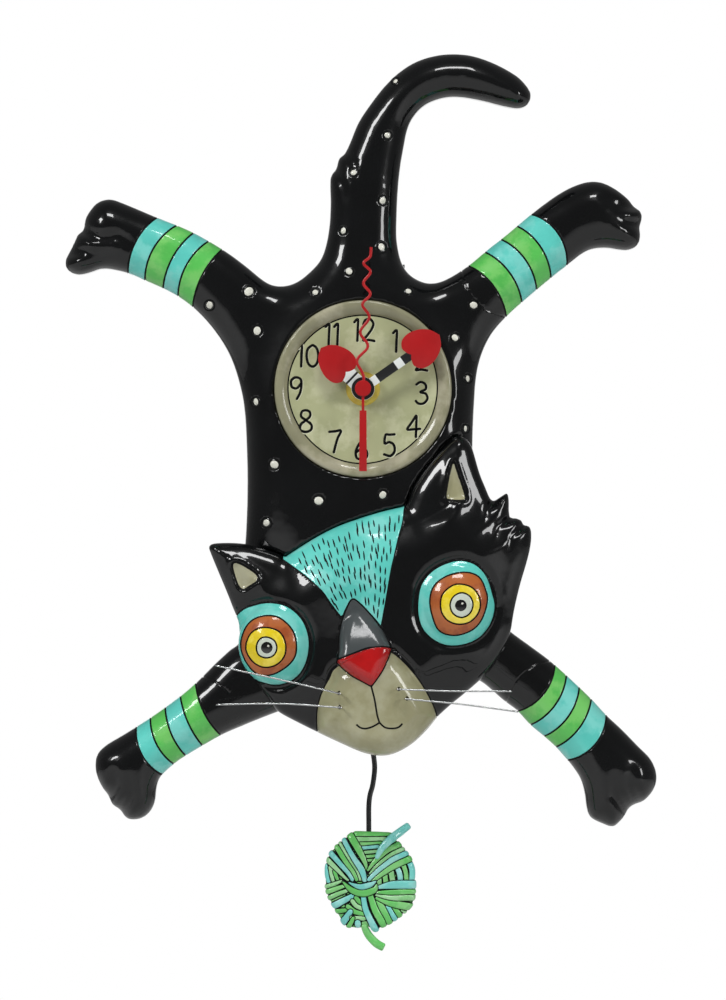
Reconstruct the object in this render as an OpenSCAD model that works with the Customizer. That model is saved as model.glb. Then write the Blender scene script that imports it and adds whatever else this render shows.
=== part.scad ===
// Cat wall clock with a quartz movement and a swinging yarn-ball pendulum.
// Frame: origin at the centre of the keyhole on the wall plane, X to the viewer's right,
// +Y into the wall, +Z up. "Depth" below means the distance in front of the wall, so y = -depth.

/* [Casting] */
// Thickness of the legs and tail
limb_t = 20; // [20:0.5:21]
// Thickness of the torso around the dial
torso_t = 26; // [25.5:0.5:27]
// Depth of the hollow behind the torso
hollow_t = 17.5; // [17.5:0.5:18]
// Front of the cheeks and the brow
face_t = 37; // [35:1:39]
// Front of the muzzle
muzzle_t = 45; // [43:1:47]

/* [Dial] */
// Radius of the dial over its rim
dial_r = 38; // [37:0.5:38.5]
// Radius of the flat part of the dial
dial_face_r = 32; // [30:0.5:33]

/* [Hands] */
// Length of the hour hand
hour_len = 25; // [22:1:27]
// Length of the minute hand
minute_len = 40.5; // [36:0.5:41]
// Length of the zigzag end of the second hand
second_len = 60.5; // [55:0.5:61]
// Clock angle at which the hour hand is stored
hour_angle = 314; // [0:1:359]
// Clock angle at which the minute hand is stored
minute_angle = 55; // [0:1:359]

/* [Movement] */
// Width of the movement's case
case_w = 56; // [56:1:58]
// Wall thickness of the movement's case
case_wall = 1.2; // [1:0.1:1.2]
// Thinning of every gear tooth, which is its share of the backlash
tooth_gap = 0.05; // [0.03:0.01:0.07]

/* [Pendulum] */
// Diameter of the rod
rod_d = 2.2; // [1.8:0.1:2.4]
// Thickness of the yarn ball
ball_t = 9; // [7:0.5:10]

/* [Hidden] */

resin_black = "#141618";
turquoise = "#5ec5b8";
yarn_green = "#5cb85c";
dial_tan = "#b3b393";
red = "#b51c20";
brass = "#c8a24a";
steel = "#c4c6c8";
black_plastic = "#26272a";
white_plastic = "#e8e6de";

// ---- places, in millimetres from the keyhole ----
dial_z = -40;                  // height of the dial's centre
seat_depth = 22;               // floor of the dial's seat
dial_floor = 24.2;             // front of the dial's flat part
head_back = 20;                // back of the head casting
sweep_r = second_len + 1.5;    // circle that the second hand needs clear
sweep_depth = 31.5;            // nothing inside that circle stands higher

// Depth of the movement's own layers, counted back from its front face
gasket_t = 0.7;
case_front = hollow_t - gasket_t;
case_t = 16;
case_top = 28;                 // above the dial's centre
case_bottom = -68;             // below it
bay_top = -23;                 // walls of the battery bay
bay_bottom = -41;
split = 8;                     // layer where the two halves of the case meet
knob_well = [13, 5.6];         // floor layer and radius of the well for the knob

// Bores and shafts on the centre line
bush_r = 4;
bush_bore_r = 2.73;
hour_tube_r = 2.65;
hour_bore_r = 1.73;
minute_tube_r = 1.65;
minute_bore_r = 0.73;
second_arbor_r = 0.65;
arbor_r = 0.4;
running = 0.08;                // radial clearance of a running fit
bush_end = 27.2;               // depths where the coaxial pieces end
hour_end = 29.9;
minute_end = 32.3;
second_end = 34.4;
hour_hand_at = [28.6, 29.2];
minute_hand_at = [31, 31.6];
second_hand_at = [33.2, 33.8];

// Pendulum
pivot_z = dial_z - 46;
lever_at = [9.4, 11.4];
peg_z = -118;
rod_depth = 8;
coil_z = pivot_z - 14;

// Gear teeth: [teeth, module, first layer, last layer]
second_wheel_g = [60, 0.36, 8.4, 9.2];
second_pinion_g = [8, 0.36, 6.4, 7.6];
third_wheel_g = [60, 0.36, 6.6, 7.4];
third_pinion_g = [8, 0.34, 4.8, 6.0];
center_wheel_g = [64, 0.34, 5.0, 5.8];
inter_pinion_g = [10, 0.36, 8.2, 9.4];
inter_wheel_g = [40, 0.34, 10.2, 11];
rotor_pinion_g = [8, 0.34, 10, 11.2];
cannon_pinion_g = [12, 0.5, 3.2, 4.4];
motion_wheel_g = [36, 0.5, 3.3, 4.3];
motion_pinion_g = [10, 0.48, 1.9, 3.3];
hour_wheel_g = [40, 0.48, 1.9, 2.9];
knob_gear_g = [12, 0.5, 3.2, 4.4];

// Where each arbor stands, [x, z] from the dial's centre
third_dir = 150;
inter_dir = 235;
rotor_dir = 190;
motion_dir = 0;
knob_dir = -60;
third_at = polar(mesh_distance(second_pinion_g, third_wheel_g), third_dir);
inter_at = polar(mesh_distance(second_wheel_g, inter_pinion_g), inter_dir);
rotor_at = inter_at + polar(mesh_distance(inter_wheel_g, rotor_pinion_g), rotor_dir);
motion_at = polar(mesh_distance(cannon_pinion_g, motion_wheel_g), motion_dir);
knob_at = motion_at + polar(mesh_distance(motion_wheel_g, knob_gear_g), knob_dir);
bearings = [third_at, inter_at, rotor_at, motion_at];
arbor_layers = [0.5, 15.5];

// ---- outlines, [x, z] ----
// Torso, legs and tail, clockwise from the tip of the tail
body_points = [
    [72.5, 87], [70, 91.5], [65, 96], [55.5, 101], [46, 104], [36, 104.5], [26, 102.5], [18, 98.5],
    [10.5, 92], [4, 84], [-2, 75], [-5.5, 66.5], [-8, 61.5],
    // tuft of fur on the tail
    [-10.5, 59.5], [-11.5, 55], [-13.7, 52.5], [-14.2, 48],
    // back of the tail into the upper left leg
    [-14, 40], [-14.5, 30.5], [-16, 22], [-18.5, 15.5], [-23.5, 10], [-29, 6], [-35, 4.5],
    [-41.5, 6], [-51, 13.5], [-60, 20], [-74, 28], [-88.5, 34], [-104, 40.5], [-109.5, 42],
    // upper left paw with its toes
    [-114.5, 40.5], [-118, 36.5], [-119.8, 33], [-120.5, 28.8], [-122.8, 27], [-124.3, 23.5],
    [-126.3, 20], [-128.3, 15.5], [-127.5, 11.5], [-123, 9.3], [-117.5, 10.3], [-111.5, 12],
    [-101, 10], [-94, 7], [-86, 3.5], [-79.5, 0], [-73.5, -4.5], [-67, -11], [-61, -19],
    [-56.5, -27.5], [-53, -38.5], [-51, -50], [-50, -70.5], [-50, -90], [-51, -110], [-52, -130],
    // lower left leg
    [-53, -148], [-57, -152], [-63.5, -158], [-72, -166.5], [-79, -172.5], [-91.5, -181.5],
    [-103.5, -189], [-109.5, -192.5],
    // lower left paw
    [-113.7, -196], [-115.3, -200], [-115, -205.5], [-112.7, -211], [-109.8, -215.3],
    [-108.3, -218.7], [-104.8, -221.3], [-103, -224], [-100, -225.5], [-95, -224.7],
    [-91.3, -221.5], [-89.5, -217], [-89, -212], [-87.3, -207], [-81.5, -201.5], [-76.5, -198],
    [-69, -193.5], [-61, -189], [-53, -185.5], [-44.5, -182], [-34, -178],
    // edge between the lower legs, behind the chin
    [-20, -173], [3, -170.5], [30, -167.5], [44, -165],
    // lower right leg
    [50.5, -165.7], [60.5, -174], [66.5, -178.5], [72, -184.5], [78, -189.5], [83, -194],
    [87, -198.5], [90.3, -202.5], [93.8, -208], [95.5, -214], [96.3, -220], [98, -224.5],
    // lower right paw
    [104, -227.5], [107.8, -228.6], [110.7, -226.3], [113, -223.8], [114.8, -220.5],
    [117.4, -218.9], [120.7, -217.7], [124.7, -213.5], [126.6, -208.5], [126, -203.5],
    [123.5, -198.7], [118.5, -193.7], [112, -187], [104.5, -180], [98.5, -173.5], [88, -163.5],
    [80, -156.5], [72, -150.5], [62, -143], [54, -134], [49.5, -122],
    // right side of the torso
    [47.5, -108], [47, -87.5], [47.3, -62], [48, -45], [49, -33.5], [51.3, -24.5], [55.5, -16],
    [62, -8.5], [68.5, -2.5], [81, 8], [88, 13.5],
    // upper right leg and paw
    [96.5, 19.7], [104, 21], [110, 20.2], [114.3, 20], [118, 21.7], [119.6, 25.5], [119.3, 30],
    [120.3, 33.2], [119.7, 36.7], [116.7, 39], [115, 41.3], [110, 45.5], [104, 48.8], [98, 49.6],
    [90.5, 47.5], [82.5, 43], [72.5, 35.5], [62, 26.7], [53.5, 20], [45, 13], [35.5, 7.2],
    [29.5, 5.7], [24.5, 6.7], [19.5, 10], [16.3, 15.5], [14.6, 24], [14.5, 32], [15, 44.5],
    // inner edge of the tail
    [16, 55], [17.5, 64], [19.3, 72.5], [22.5, 78.5], [27.5, 83], [34.5, 85.6], [41.5, 86],
    [51.5, 84.3], [60.5, 82], [67, 81], [71, 82.7]];

// Head, clockwise from the tip of the left ear; a point with a third value is a sharp corner
head_points = [
    [-66, -107.5], [-63, -106.2], [-52, -106.3], [-44, -108.3], [-37, -110.5],
    [-33.5, -112.3, 1], [-29, -109.3], [-20, -103.6], [-10.5, -98.8], [-0.5, -95.2], [8, -92.6],
    [18, -90.2, 1], [19.2, -87.2], [20.6, -83.5], [22.7, -79.5], [26.5, -74], [31, -68.5],
    [35.5, -63.7], [38.5, -61.2], [41, -60.2], [44, -61.3], [46.5, -64.7], [48, -69.3],
    [50, -76.2], [52.5, -82.4], [54.5, -87],
    // tufts of fur on the cheek
    [56.2, -88.2, 1], [59, -86.3], [62, -84.4, 1], [62.6, -88], [62.6, -92], [63, -95.4, 1],
    [66, -95.6], [68.2, -96.6, 1], [68.8, -98.6, 1], [71, -98.8], [72.1, -101], [72, -106.5],
    [70.5, -113.5], [67.7, -123], [65.6, -131.5], [64.4, -137.5], [63.3, -144], [60.7, -151],
    [57, -157.5], [52.5, -162.8], [43.5, -170.7], [38, -175.2], [32, -180.7], [28.5, -185],
    [24, -189.7], [19.5, -193.3], [14, -196.2], [8.5, -197.4], [3, -196.8], [-2, -195.3],
    [-9, -192.2], [-19.5, -187.3], [-30.5, -181.8], [-36, -178.7], [-38.3, -176.3],
    [-41, -172.6], [-45, -167], [-48, -162.2], [-50.2, -158], [-52, -151.5], [-53, -144],
    [-53.4, -140], [-55.5, -134.7], [-58.5, -127], [-62.5, -117.5], [-65.8, -109.3]];

// Muzzle, clockwise from the left corner of the nose
muzzle_points = [
    [-11, -158.7], [-14.5, -164], [-17, -168.5], [-18.8, -173.5], [-19.7, -178], [-19.7, -183],
    [-19, -187, 1], [-9, -191.5], [-2, -194.5], [3, -196], [8.5, -196.6], [14, -195.5],
    [19.5, -192.5], [24, -189], [28, -184.7], [31.5, -180.7, 1], [30.5, -176.5], [28.4, -172],
    [25, -166.2], [21, -160.8], [16.5, -156], [12, -152.5]];

// Grey bridge of the nose and the nose below it, as one raised ridge
ridge_points = [
    [-4.6, -130.5], [-1.8, -131.6], [3, -136.5], [7.5, -142], [10, -146.5], [12, -151.2],
    [8, -161], [3.8, -166.6], [-5.5, -162], [-11, -156.7], [-10.2, -151.5], [-10, -145.5],
    [-8.7, -139], [-6.7, -133.5]];

// Yarn ball, clockwise from where the rod enters it
ball_points = [
    [2.5, -229.3], [14, -230.5], [19.5, -234.5], [22.3, -239], [23.2, -244.5], [23.2, -252],
    [22.7, -259], [19.5, -265.5], [13, -270], [8.5, -273.5], [2.5, -272.5], [-6, -272.5],
    [-11.5, -267], [-15, -261], [-16.8, -254], [-17, -246.5], [-15.8, -239.5], [-11, -233.7],
    [-5.5, -230]];
yarn_end_top = [[16, -236.5], [19, -231.5], [21.3, -227.3]];
yarn_end_bottom = [[3.5, -270], [4.5, -275.5], [6.8, -279], [10, -281]];

// The rod's route, [x, z], from the ring that hangs on the lever down into the ball
rod_route = [[0, -120.5], [0, -150], [1.5, -175], [3.5, -192], [4.7, -199], [5, -204],
    [4.2, -210.5], [3, -215], [2.5, -220], [2.5, -228], [2.5, -235]];

// Whiskers, [x, depth, z], from the bottom of the hole in the muzzle outwards
whisker_ul = [[-10, 40, -170], [-10, 46.5, -170], [-11.5, 48, -169.7], [-30, 48.2, -165.3],
    [-63, 48.5, -158]];
whisker_ll = [[-9.7, 40, -176], [-9.7, 46.5, -176], [-11.2, 48, -175.9], [-35, 49.5, -174.3],
    [-62.5, 50, -174.7]];
whisker_ur = [[15, 40, -168.2], [15, 46.5, -168.2], [16.5, 48, -168.3], [38, 49, -169],
    [63.3, 50, -169]];
whisker_lr = [[18.5, 40, -172.3], [18.5, 46.5, -172.3], [20, 48, -172.5], [42, 48.5, -174.6],
    [66, 48.5, -177.8]];
whisker_r = 0.35;
whisker_hole_r = 0.9;

// ---- functions ----
function polar(r, a) = [r * cos(a), r * sin(a)];
function unit(v) = v / norm(v);
function flat_point(p) = [p[0], p[1]];
function is_corner(p) = len(p) > 2;

// Point at share t between p1 and p2 of a Catmull-Rom curve
function curve_point(p0, p1, p2, p3, t) =
    0.5 * (2 * p1 + t * (p2 - p0) + t * t * (2 * p0 - 5 * p1 + 4 * p2 - p3)
        + t * t * t * (3 * p1 - p0 - 3 * p2 + p3));

// Closed smooth outline through the points, with n steps between two of them;
// at a corner the curve starts afresh, so the corner stays sharp
function closed_curve(pts, n) = let (c = len(pts))
    [for (i = [0:c - 1])
        let (a = pts[i], b = pts[(i + 1) % c], before = pts[(i + c - 1) % c],
            after = pts[(i + 2) % c],
            p0 = is_corner(a) ? flat_point(a) : flat_point(before),
            p3 = is_corner(b) ? flat_point(b) : flat_point(after))
        for (s = [0:n - 1]) curve_point(p0, flat_point(a), flat_point(b), p3, s / n)];

// Open smooth curve through the points
function open_curve(pts, n) = let (c = len(pts))
    concat([for (i = [0:c - 2]) for (s = [0:n - 1])
        curve_point(pts[max(i - 1, 0)], pts[i], pts[i + 1], pts[min(i + 2, c - 1)], s / n)],
        [pts[c - 1]]);

// Outline of a stroke of width w along an open line
function join_normal(line, i) =
    let (d0 = unit(line[max(i, 1)] - line[max(i - 1, 0)]),
        d1 = unit(line[min(i + 1, len(line) - 1)] - line[min(i, len(line) - 2)]), m = d0 + d1)
    2 * [-m[1], m[0]] / (m * m);
function ribbon(line, w) = concat(
    [for (i = [0:len(line) - 1]) line[i] - w / 2 * join_normal(line, i)],
    [for (i = [len(line) - 1:-1:0]) line[i] + w / 2 * join_normal(line, i)]);

function with_depth(p, depth) = [p[0], -depth, p[1]];

// Tangent of a 3-D path at point i
function tangent(path, i) =
    unit(path[min(i + 1, len(path) - 1)] - path[max(i - 1, 0)]);

// Involute gears
pressure = 25;
addendum = 0.7;
dedendum = 0.95;
function involute(a) = tan(a) * 180 / PI - a;
function half_tooth(z, m, r) =
    let (rp = z * m / 2, rb = rp * cos(pressure), a = r > rb ? acos(rb / r) : 0)
    90 / z - tooth_gap / 2 / rp * 180 / PI + involute(pressure) - involute(a);
function gear_outline(z, m, phase) =
    let (rp = z * m / 2, rb = rp * cos(pressure), ra = rp + addendum * m,
        rf = rp - dedendum * m, r0 = max(rb, rf), n = 4,
        rs = concat([rf], rb > rf ? [rb] : [], [for (k = [1:n]) r0 + (ra - r0) * k / n]))
    [for (i = [0:z - 1]) let (mid = phase + i * 360 / z)
        each concat(
            [for (k = [0:len(rs) - 1]) polar(rs[k], mid - half_tooth(z, m, rs[k]))],
            [for (k = [len(rs) - 1:-1:0]) polar(rs[k], mid + half_tooth(z, m, rs[k]))])];
function mesh_distance(g1, g2) = (g1[0] * g1[1] + g2[0] * g2[1]) / 2;
// Phase that puts gear 2 in mesh with gear 1, when gear 2 lies in direction dir from gear 1
function mate_phase(dir, g1, phase1, g2) =
    dir + 180 + ((dir - phase1) * g1[0] + 180) / g2[0];

motion_wheel_phase = mate_phase(motion_dir, cannon_pinion_g, 0, motion_wheel_g);

// ---- general modules ----
// Extrudes a drawing in x and z from one depth to another, in front of the wall
module slab(back, front) {
    translate([0, -back, 0]) rotate([90, 0, 0]) linear_extrude(front - back) children();
}

// Extrudes between two layers of the movement, in its own x and z
module layer(from, to) {
    translate([0, 0, dial_z]) slab(case_front - to, case_front - from) children();
}

// Round bar along Y at [x, z]
module disc(r, back, front, at = [0, 0]) {
    translate([at[0], -back, at[1]]) rotate([90, 0, 0])
        cylinder(r = r, h = front - back, $fn = 64);
}

// Round bar between two layers of the movement
module spindle(r, from, to, at = [0, 0]) {
    disc(r, case_front - to, case_front - from, [at[0], at[1] + dial_z]);
}

module gear(g, phase) {
    layer(g[2], g[3]) polygon(gear_outline(g[0], g[1], phase));
}

// Twelve-sided hub, so that a pressed wheel keeps flat faces
module hub(r, from, to) {
    layer(from, to) circle(r = r, $fn = 12);
}

module at_arbor(at) {
    translate([at[0], 0, at[1]]) children();
}

// Steel arbor with its two pivots
module arbor(at) {
    color(steel) spindle(arbor_r, arbor_layers[0], arbor_layers[1], at);
}

// Tube swept along a 3-D path; ref is a direction that the path never takes
module tube(path, r, sides, ref) {
    rings = [for (i = [0:len(path) - 1])
        let (t = tangent(path, i), a = unit(ref - (ref * t) * t), b = cross(t, a))
        for (k = [0:sides - 1])
            path[i] + r * (cos(k * 360 / sides) * a + sin(k * 360 / sides) * b)];
    count = len(path);
    polyhedron(points = rings, faces = concat(
        [[for (k = [0:sides - 1]) k]],
        [for (i = [0:count - 2]) for (k = [0:sides - 1])
            [i * sides + k, (i + 1) * sides + k, (i + 1) * sides + (k + 1) % sides,
                i * sides + (k + 1) % sides]],
        [[for (k = [sides - 1:-1:0]) (count - 1) * sides + k]]));
}

// Layers that step inwards towards the front, like a rounded edge: [back, front, inset]
module stepped(steps) {
    for (s = steps) slab(s[0], s[1]) offset(delta = -s[2]) children();
}

module rounded_rect(x0, x1, z0, z1, r) {
    polygon([for (c = [[x1 - r, z1 - r, 0], [x0 + r, z1 - r, 90], [x0 + r, z0 + r, 180],
        [x1 - r, z0 + r, 270]]) for (a = [0:15:90]) [c[0], c[1]] + polar(r, c[2] + a)]);
}

// ---- castings ----
module body_outline() { polygon(closed_curve(body_points, 2)); }
module head_outline() { polygon(closed_curve(head_points, 2)); }

module torso_outline() {
    intersection() {
        offset(delta = -3) body_outline();
        translate([-1, dial_z - 22]) scale([1, 1.35]) circle(r = 56, $fn = 72);
    }
}

hollow = [-39, 37, -150, -10.8];   // x and z limits of the hollow behind the torso
channel = [-16, 16];               // slot that lets the rod swing out below
plate_size = [36, 21];
plate_low = -7;
plate_t = 1.5;
keyhole_r = 4.5;
slot_r = 2.2;
slot_top = 8;
screw_x = 13;
screw_z = 3.5;
screw_r = 1.45;
screw_head_r = 2.9;

module keyhole_pocket() {
    slab(plate_t, plate_t + 8) rounded_rect(-6, 6, -6, slot_top + 4, 2);
}

module plate_recess(gap) {
    translate([0, 0, plate_low]) slab(-1, plate_t)
        translate([-plate_size[0] / 2 - gap, -gap])
            square([plate_size[0] + 2 * gap, plate_size[1] + 2 * gap]);
}

module body_shell() {
    color(resin_black) difference() {
        union() {
            stepped([[0, 11, 0], [11, 15, 1.3], [15, 18, 3.6], [18, limb_t, 6.5]])
                body_outline();
            stepped([[limb_t - 2, torso_t - 3, 2], [torso_t - 3, torso_t, 5]])
                torso_outline();
        }
        slab(-1, hollow_t) rounded_rect(hollow[0], hollow[1], hollow[2], hollow[3], 6);
        slab(-1, 13) translate([channel[0], -190]) square([channel[1] - channel[0], 50]);
        disc(dial_r + 0.3, seat_depth, torso_t + 5, [0, dial_z]);
        disc(4.6, hollow_t - 1, seat_depth + 1, [0, dial_z]);
        slab(head_back, torso_t + 5) offset(delta = 0.3) head_outline();
        plate_recess(0.2);
        keyhole_pocket();
        for (x = [-screw_x, screw_x]) disc(screw_r, 0, 10, [x, screw_z]);
    }
}

eye_left = [-38, -149.5];
eye_right = [40, -131.8];
eye_left_r = 16;
eye_right_r = 17;

module eye_dome(r, at) {
    translate([at[0], 0, at[1]]) rotate([90, 0, 0]) rotate_extrude($fn = 72)
        polygon([[0, head_back + 4], [r, head_back + 4], [r, face_t - 2], [r - 2, face_t + 1],
            [r * 0.6, face_t + 4], [r * 0.25, face_t + 5], [0, face_t + 5]]);
}

// The face without its ears
module face_outline() {
    offset(r = 12, $fn = 32) offset(delta = -16.5) head_outline();
}

module head_shell() {
    color(resin_black) difference() {
        union() {
            stepped([[head_back, 26, 0], [26, 29, 1.6], [29, 31, 4]]) head_outline();
            stepped([[28, 34, 0], [34, face_t, 5]]) face_outline();
            eye_dome(eye_left_r, eye_left);
            eye_dome(eye_right_r, eye_right);
            stepped([[26, 39, 0], [39, 43, 2], [43, muzzle_t, 5]])
                polygon(closed_curve(muzzle_points, 2));
            stepped([[30, 44, 0], [44, 48, 2.5]]) polygon(closed_curve(ridge_points, 2));
        }
        disc(sweep_r, sweep_depth, 70, [0, dial_z]);
        for (w = [whisker_ul, whisker_ll, whisker_ur, whisker_lr])
            disc(whisker_hole_r, w[0][1], 60, [w[0][0], w[0][2]]);
    }
}

module dial_plate() {
    rim = 26.4 - seat_depth;
    color(dial_tan) translate([0, -seat_depth, dial_z]) rotate([90, 0, 0]) rotate_extrude($fn = 120)
        polygon([[4.6, 0], [dial_r, 0], [dial_r, rim - 0.6], [dial_r - 0.6, rim],
            [dial_r - 1.6, rim], [dial_face_r + 1.5, dial_floor - seat_depth + 0.5],
            [dial_face_r, dial_floor - seat_depth], [4.6, dial_floor - seat_depth]]);
}

module whisker(route) {
    path = open_curve([for (p = route) [p[0], -p[1], p[2]]], 4);
    color(steel) tube(path, whisker_r, 8, [0, 0, 1]);
}

// ---- wall hanger ----
module hanger_plate() {
    color(steel) difference() {
        translate([0, 0, plate_low]) slab(0, plate_t) translate([-plate_size[0] / 2, 0])
            square(plate_size);
        disc(keyhole_r, -1, plate_t + 1);
        disc(slot_r, -1, plate_t + 1, [0, slot_top]);
        slab(-1, plate_t + 1) translate([-slot_r, 0]) square([2 * slot_r, slot_top]);
        for (x = [-screw_x, screw_x]) screw([x, screw_z]);
    }
}

module screw(at) {
    translate([at[0], 0, at[1]]) rotate([90, 0, 0]) {
        cylinder(r1 = screw_head_r, r2 = screw_r, h = plate_t, $fn = 48);
        translate([0, 0, plate_t]) cylinder(r = screw_r, h = 8, $fn = 48);
    }
}

module hanger_screws() {
    color(steel) for (x = [-screw_x, screw_x]) difference() {
        screw([x, screw_z]);
        for (a = [0, 90]) translate([x, 0, screw_z]) rotate([0, a, 0])
            cube([3.4, 1.4, 0.7], center = true);
    }
}

// ---- fixings of the movement ----
module ring(r, bore, back, front) {
    difference() {
        disc(r, back, front, [0, dial_z]);
        disc(bore, back - 1, front + 1, [0, dial_z]);
    }
}

module threaded_bush() {
    color(brass) difference() {
        union() {
            disc(bush_r, case_front - case_wall, bush_end, [0, dial_z]);
            spindle(5.4, case_wall, case_wall + 0.5);
        }
        disc(bush_bore_r, case_front - 3, bush_end + 1, [0, dial_z]);
    }
}

module rubber_gasket() { color(black_plastic) ring(9, 4.2, case_front, hollow_t); }

module brass_washer() { color(brass) ring(7.3, 4.1, dial_floor, dial_floor + 0.5); }

nut_flats = 12;
nut_at = [dial_floor + 0.5, 26.9];
module hex_nut() {
    color(brass) difference() {
        translate([0, 0, dial_z]) slab(nut_at[0], nut_at[1]) rotate(30)
            circle(r = nut_flats / 2 / cos(30), $fn = 6);
        disc(bush_r, nut_at[0] - 1, nut_at[1] + 1, [0, dial_z]);
    }
}

// ---- movement case ----
module case_block(from, to, inset) {
    layer(from, to) rounded_rect(-case_w / 2 + inset, case_w / 2 - inset, case_bottom + inset,
        case_top - inset, 2.5 - inset);
}

// Walls across the case on both sides of the battery
module bay_walls(from, to) {
    for (z = [bay_top - 1, bay_bottom - 1]) layer(from, to)
        translate([-case_w / 2 + 0.6, z]) square([case_w - 1.2, 1]);
}

module bearing_holes(from, to) {
    for (at = bearings) spindle(arbor_r + running, from, to, at);
}

// Slot in the bottom of the case that the pendulum lever swings in
module lever_slot() {
    slab(lever_at[0] - 3.2, lever_at[1] + 1)
        translate([-10, dial_z + case_bottom - 1]) square([20, 4]);
}

pin_r = 0.8;
module movement_front_case() {
    color(black_plastic) difference() {
        union() {
            difference() {
                case_block(0, split, 0);
                case_block(case_wall, split + 1, case_wall);
            }
            bay_walls(0.6, split);
        }
        spindle(bush_r, -1, 3);
        bearing_holes(arbor_layers[0] - 0.1, 2);
        spindle(1.2 + running, 0.4, 2, knob_at);
        spindle(pin_r, 0.4, 2, [0, pivot_z - dial_z]);
        lever_slot();
    }
}

module movement_back_case() {
    color(black_plastic) difference() {
        union() {
            difference() {
                case_block(split, case_t, 0);
                case_block(split - 1, case_t - case_wall, case_wall);
            }
            bay_walls(split, case_t - 0.6);
            spindle(knob_well[1] + case_wall, knob_well[0] - case_wall, case_t, knob_at);
        }
        bearing_holes(case_t - case_wall - 1, arbor_layers[1] + 0.1);
        spindle(arbor_r + running, case_t - case_wall - 1, arbor_layers[1] + 0.1);
        spindle(knob_well[1], knob_well[0], case_t + 1, knob_at);
        spindle(1.2 + running, knob_well[0] - 3, knob_well[0] + 1, knob_at);
        spindle(pin_r, case_t - case_wall - 1, case_t - 0.4, [0, pivot_z - dial_z]);
        layer(case_t - 3, case_t + 1) translate([-case_w / 2 + case_wall, bay_bottom])
            square([case_w - 2 * case_wall, bay_top - 1 - bay_bottom]);
        lever_slot();
    }
}

// ---- battery and electrics ----
cell_r = 7.2;
cell_z = dial_z + (bay_top - 1 + bay_bottom) / 2;
cell_layer = 8.6;
cell_half = 24.6;

module cell_axis() {
    translate([0, cell_layer - case_front, cell_z]) rotate([0, 90, 0]) children();
}

module battery() {
    color("#b9852f") cell_axis() {
        translate([0, 0, -cell_half]) cylinder(r = cell_r, h = 2 * cell_half - 1.4, $fn = 64);
        translate([0, 0, cell_half - 1.5]) cylinder(r = 2.6, h = 1.5, $fn = 48);
    }
}

contact_t = 0.5;
module contact_positive() {
    color(steel) layer(cell_layer - 5, cell_layer + 5)
        translate([cell_half + 0.3, bay_bottom + 3]) square([contact_t, 11]);
}

module contact_negative() {
    color(steel) {
        layer(cell_layer - 5, cell_layer + 5)
            translate([-cell_half - 2, bay_bottom + 3]) square([contact_t, 11]);
        cell_axis() translate([0, 0, -cell_half - 1.5])
            cylinder(r1 = 4.5, r2 = 1.8, h = 1.2, $fn = 48);
    }
}

board_at = [case_t - case_wall - 0.8, case_t - case_wall];
module circuit_board() {
    color("#2f6b45") layer(board_at[0], board_at[1]) difference() {
        translate([2.5, 2]) square([23, 23]);
        translate(motion_at) circle(r = 2.6, $fn = 48);
    }
    color(resin_black) layer(board_at[0] - 1.1, board_at[0])
        translate([14, 12]) circle(r = 3.2, $fn = 48);
}

module quartz_crystal() {
    color(steel) translate([5.5, board_at[0] - 1.15 - case_front, dial_z + 14])
        cylinder(r = 1.1, h = 6, $fn = 48);
}

stator_at = [11.8, 13.2];
coil_x = -22.2;
module motor_stator() {
    color(steel) layer(stator_at[0], stator_at[1]) difference() {
        union() {
            translate([-24.6, -16]) square([13.5, 9]);
            translate([coil_x - 1.2, -8]) square([2.4, 27]);
        }
        translate(rotor_at) circle(r = 3.1, $fn = 64);
    }
}

module motor_coil() {
    color("#b4622d") difference() {
        translate([0, (stator_at[0] + stator_at[1]) / 2 - case_front, dial_z])
            translate([coil_x, 0, -4]) cylinder(r = 2.3, h = 20, $fn = 64);
        layer(stator_at[0], stator_at[1]) translate([coil_x - 1.2, -8]) square([2.4, 27]);
    }
}

// ---- train from the rotor to the hands ----
// A wheel and its pinion on one twelve-sided hub, bored for the arbor
module wheel_and_pinion(wheel, wheel_phase, pinion, pinion_phase, at, bore, tint) {
    low = min(wheel[2], pinion[2]);
    high = max(wheel[3], pinion[3]);
    color(tint) at_arbor(at) difference() {
        union() {
            gear(wheel, wheel_phase);
            gear(pinion, pinion_phase);
            hub(bore + 0.35, low, high);
        }
        hub(bore / cos(15), low - 1, high + 1);
    }
}

module rotor_pinion() {
    color(white_plastic) at_arbor(rotor_at) difference() {
        union() {
            gear(rotor_pinion_g, mate_phase(rotor_dir, inter_wheel_g, 0, rotor_pinion_g));
            hub(0.95, rotor_pinion_g[2], stator_at[0] - 0.1);
        }
        hub(arbor_r / cos(15), 9, 14);
    }
}

module rotor_magnet() {
    color(resin_black) difference() {
        spindle(2.6, stator_at[0] - 0.1, stator_at[1] + 0.4, rotor_at);
        spindle(arbor_r, 9, 16, rotor_at);
    }
}

module intermediate_wheel() {
    wheel_and_pinion(inter_wheel_g, 0, inter_pinion_g,
        mate_phase(inter_dir, second_wheel_g, 0, inter_pinion_g), inter_at, arbor_r,
        white_plastic);
}

module second_wheel() {
    wheel_and_pinion(second_wheel_g, 0, second_pinion_g, 0, [0, 0], second_arbor_r,
        white_plastic);
}

module second_arbor() {
    color(steel) union() {
        disc(second_arbor_r, case_front - 14.6, second_end, [0, dial_z]);
        spindle(arbor_r, 14.6, arbor_layers[1]);
    }
}

module third_wheel() {
    wheel_and_pinion(third_wheel_g, mate_phase(third_dir, second_pinion_g, 0, third_wheel_g),
        third_pinion_g, 0, third_at, arbor_r, white_plastic);
}

module center_wheel() {
    color(brass) difference() {
        gear(center_wheel_g, mate_phase(third_dir + 180, third_pinion_g, 0, center_wheel_g));
        hub((minute_tube_r + running) / cos(15), 4, 7);
    }
}

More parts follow.
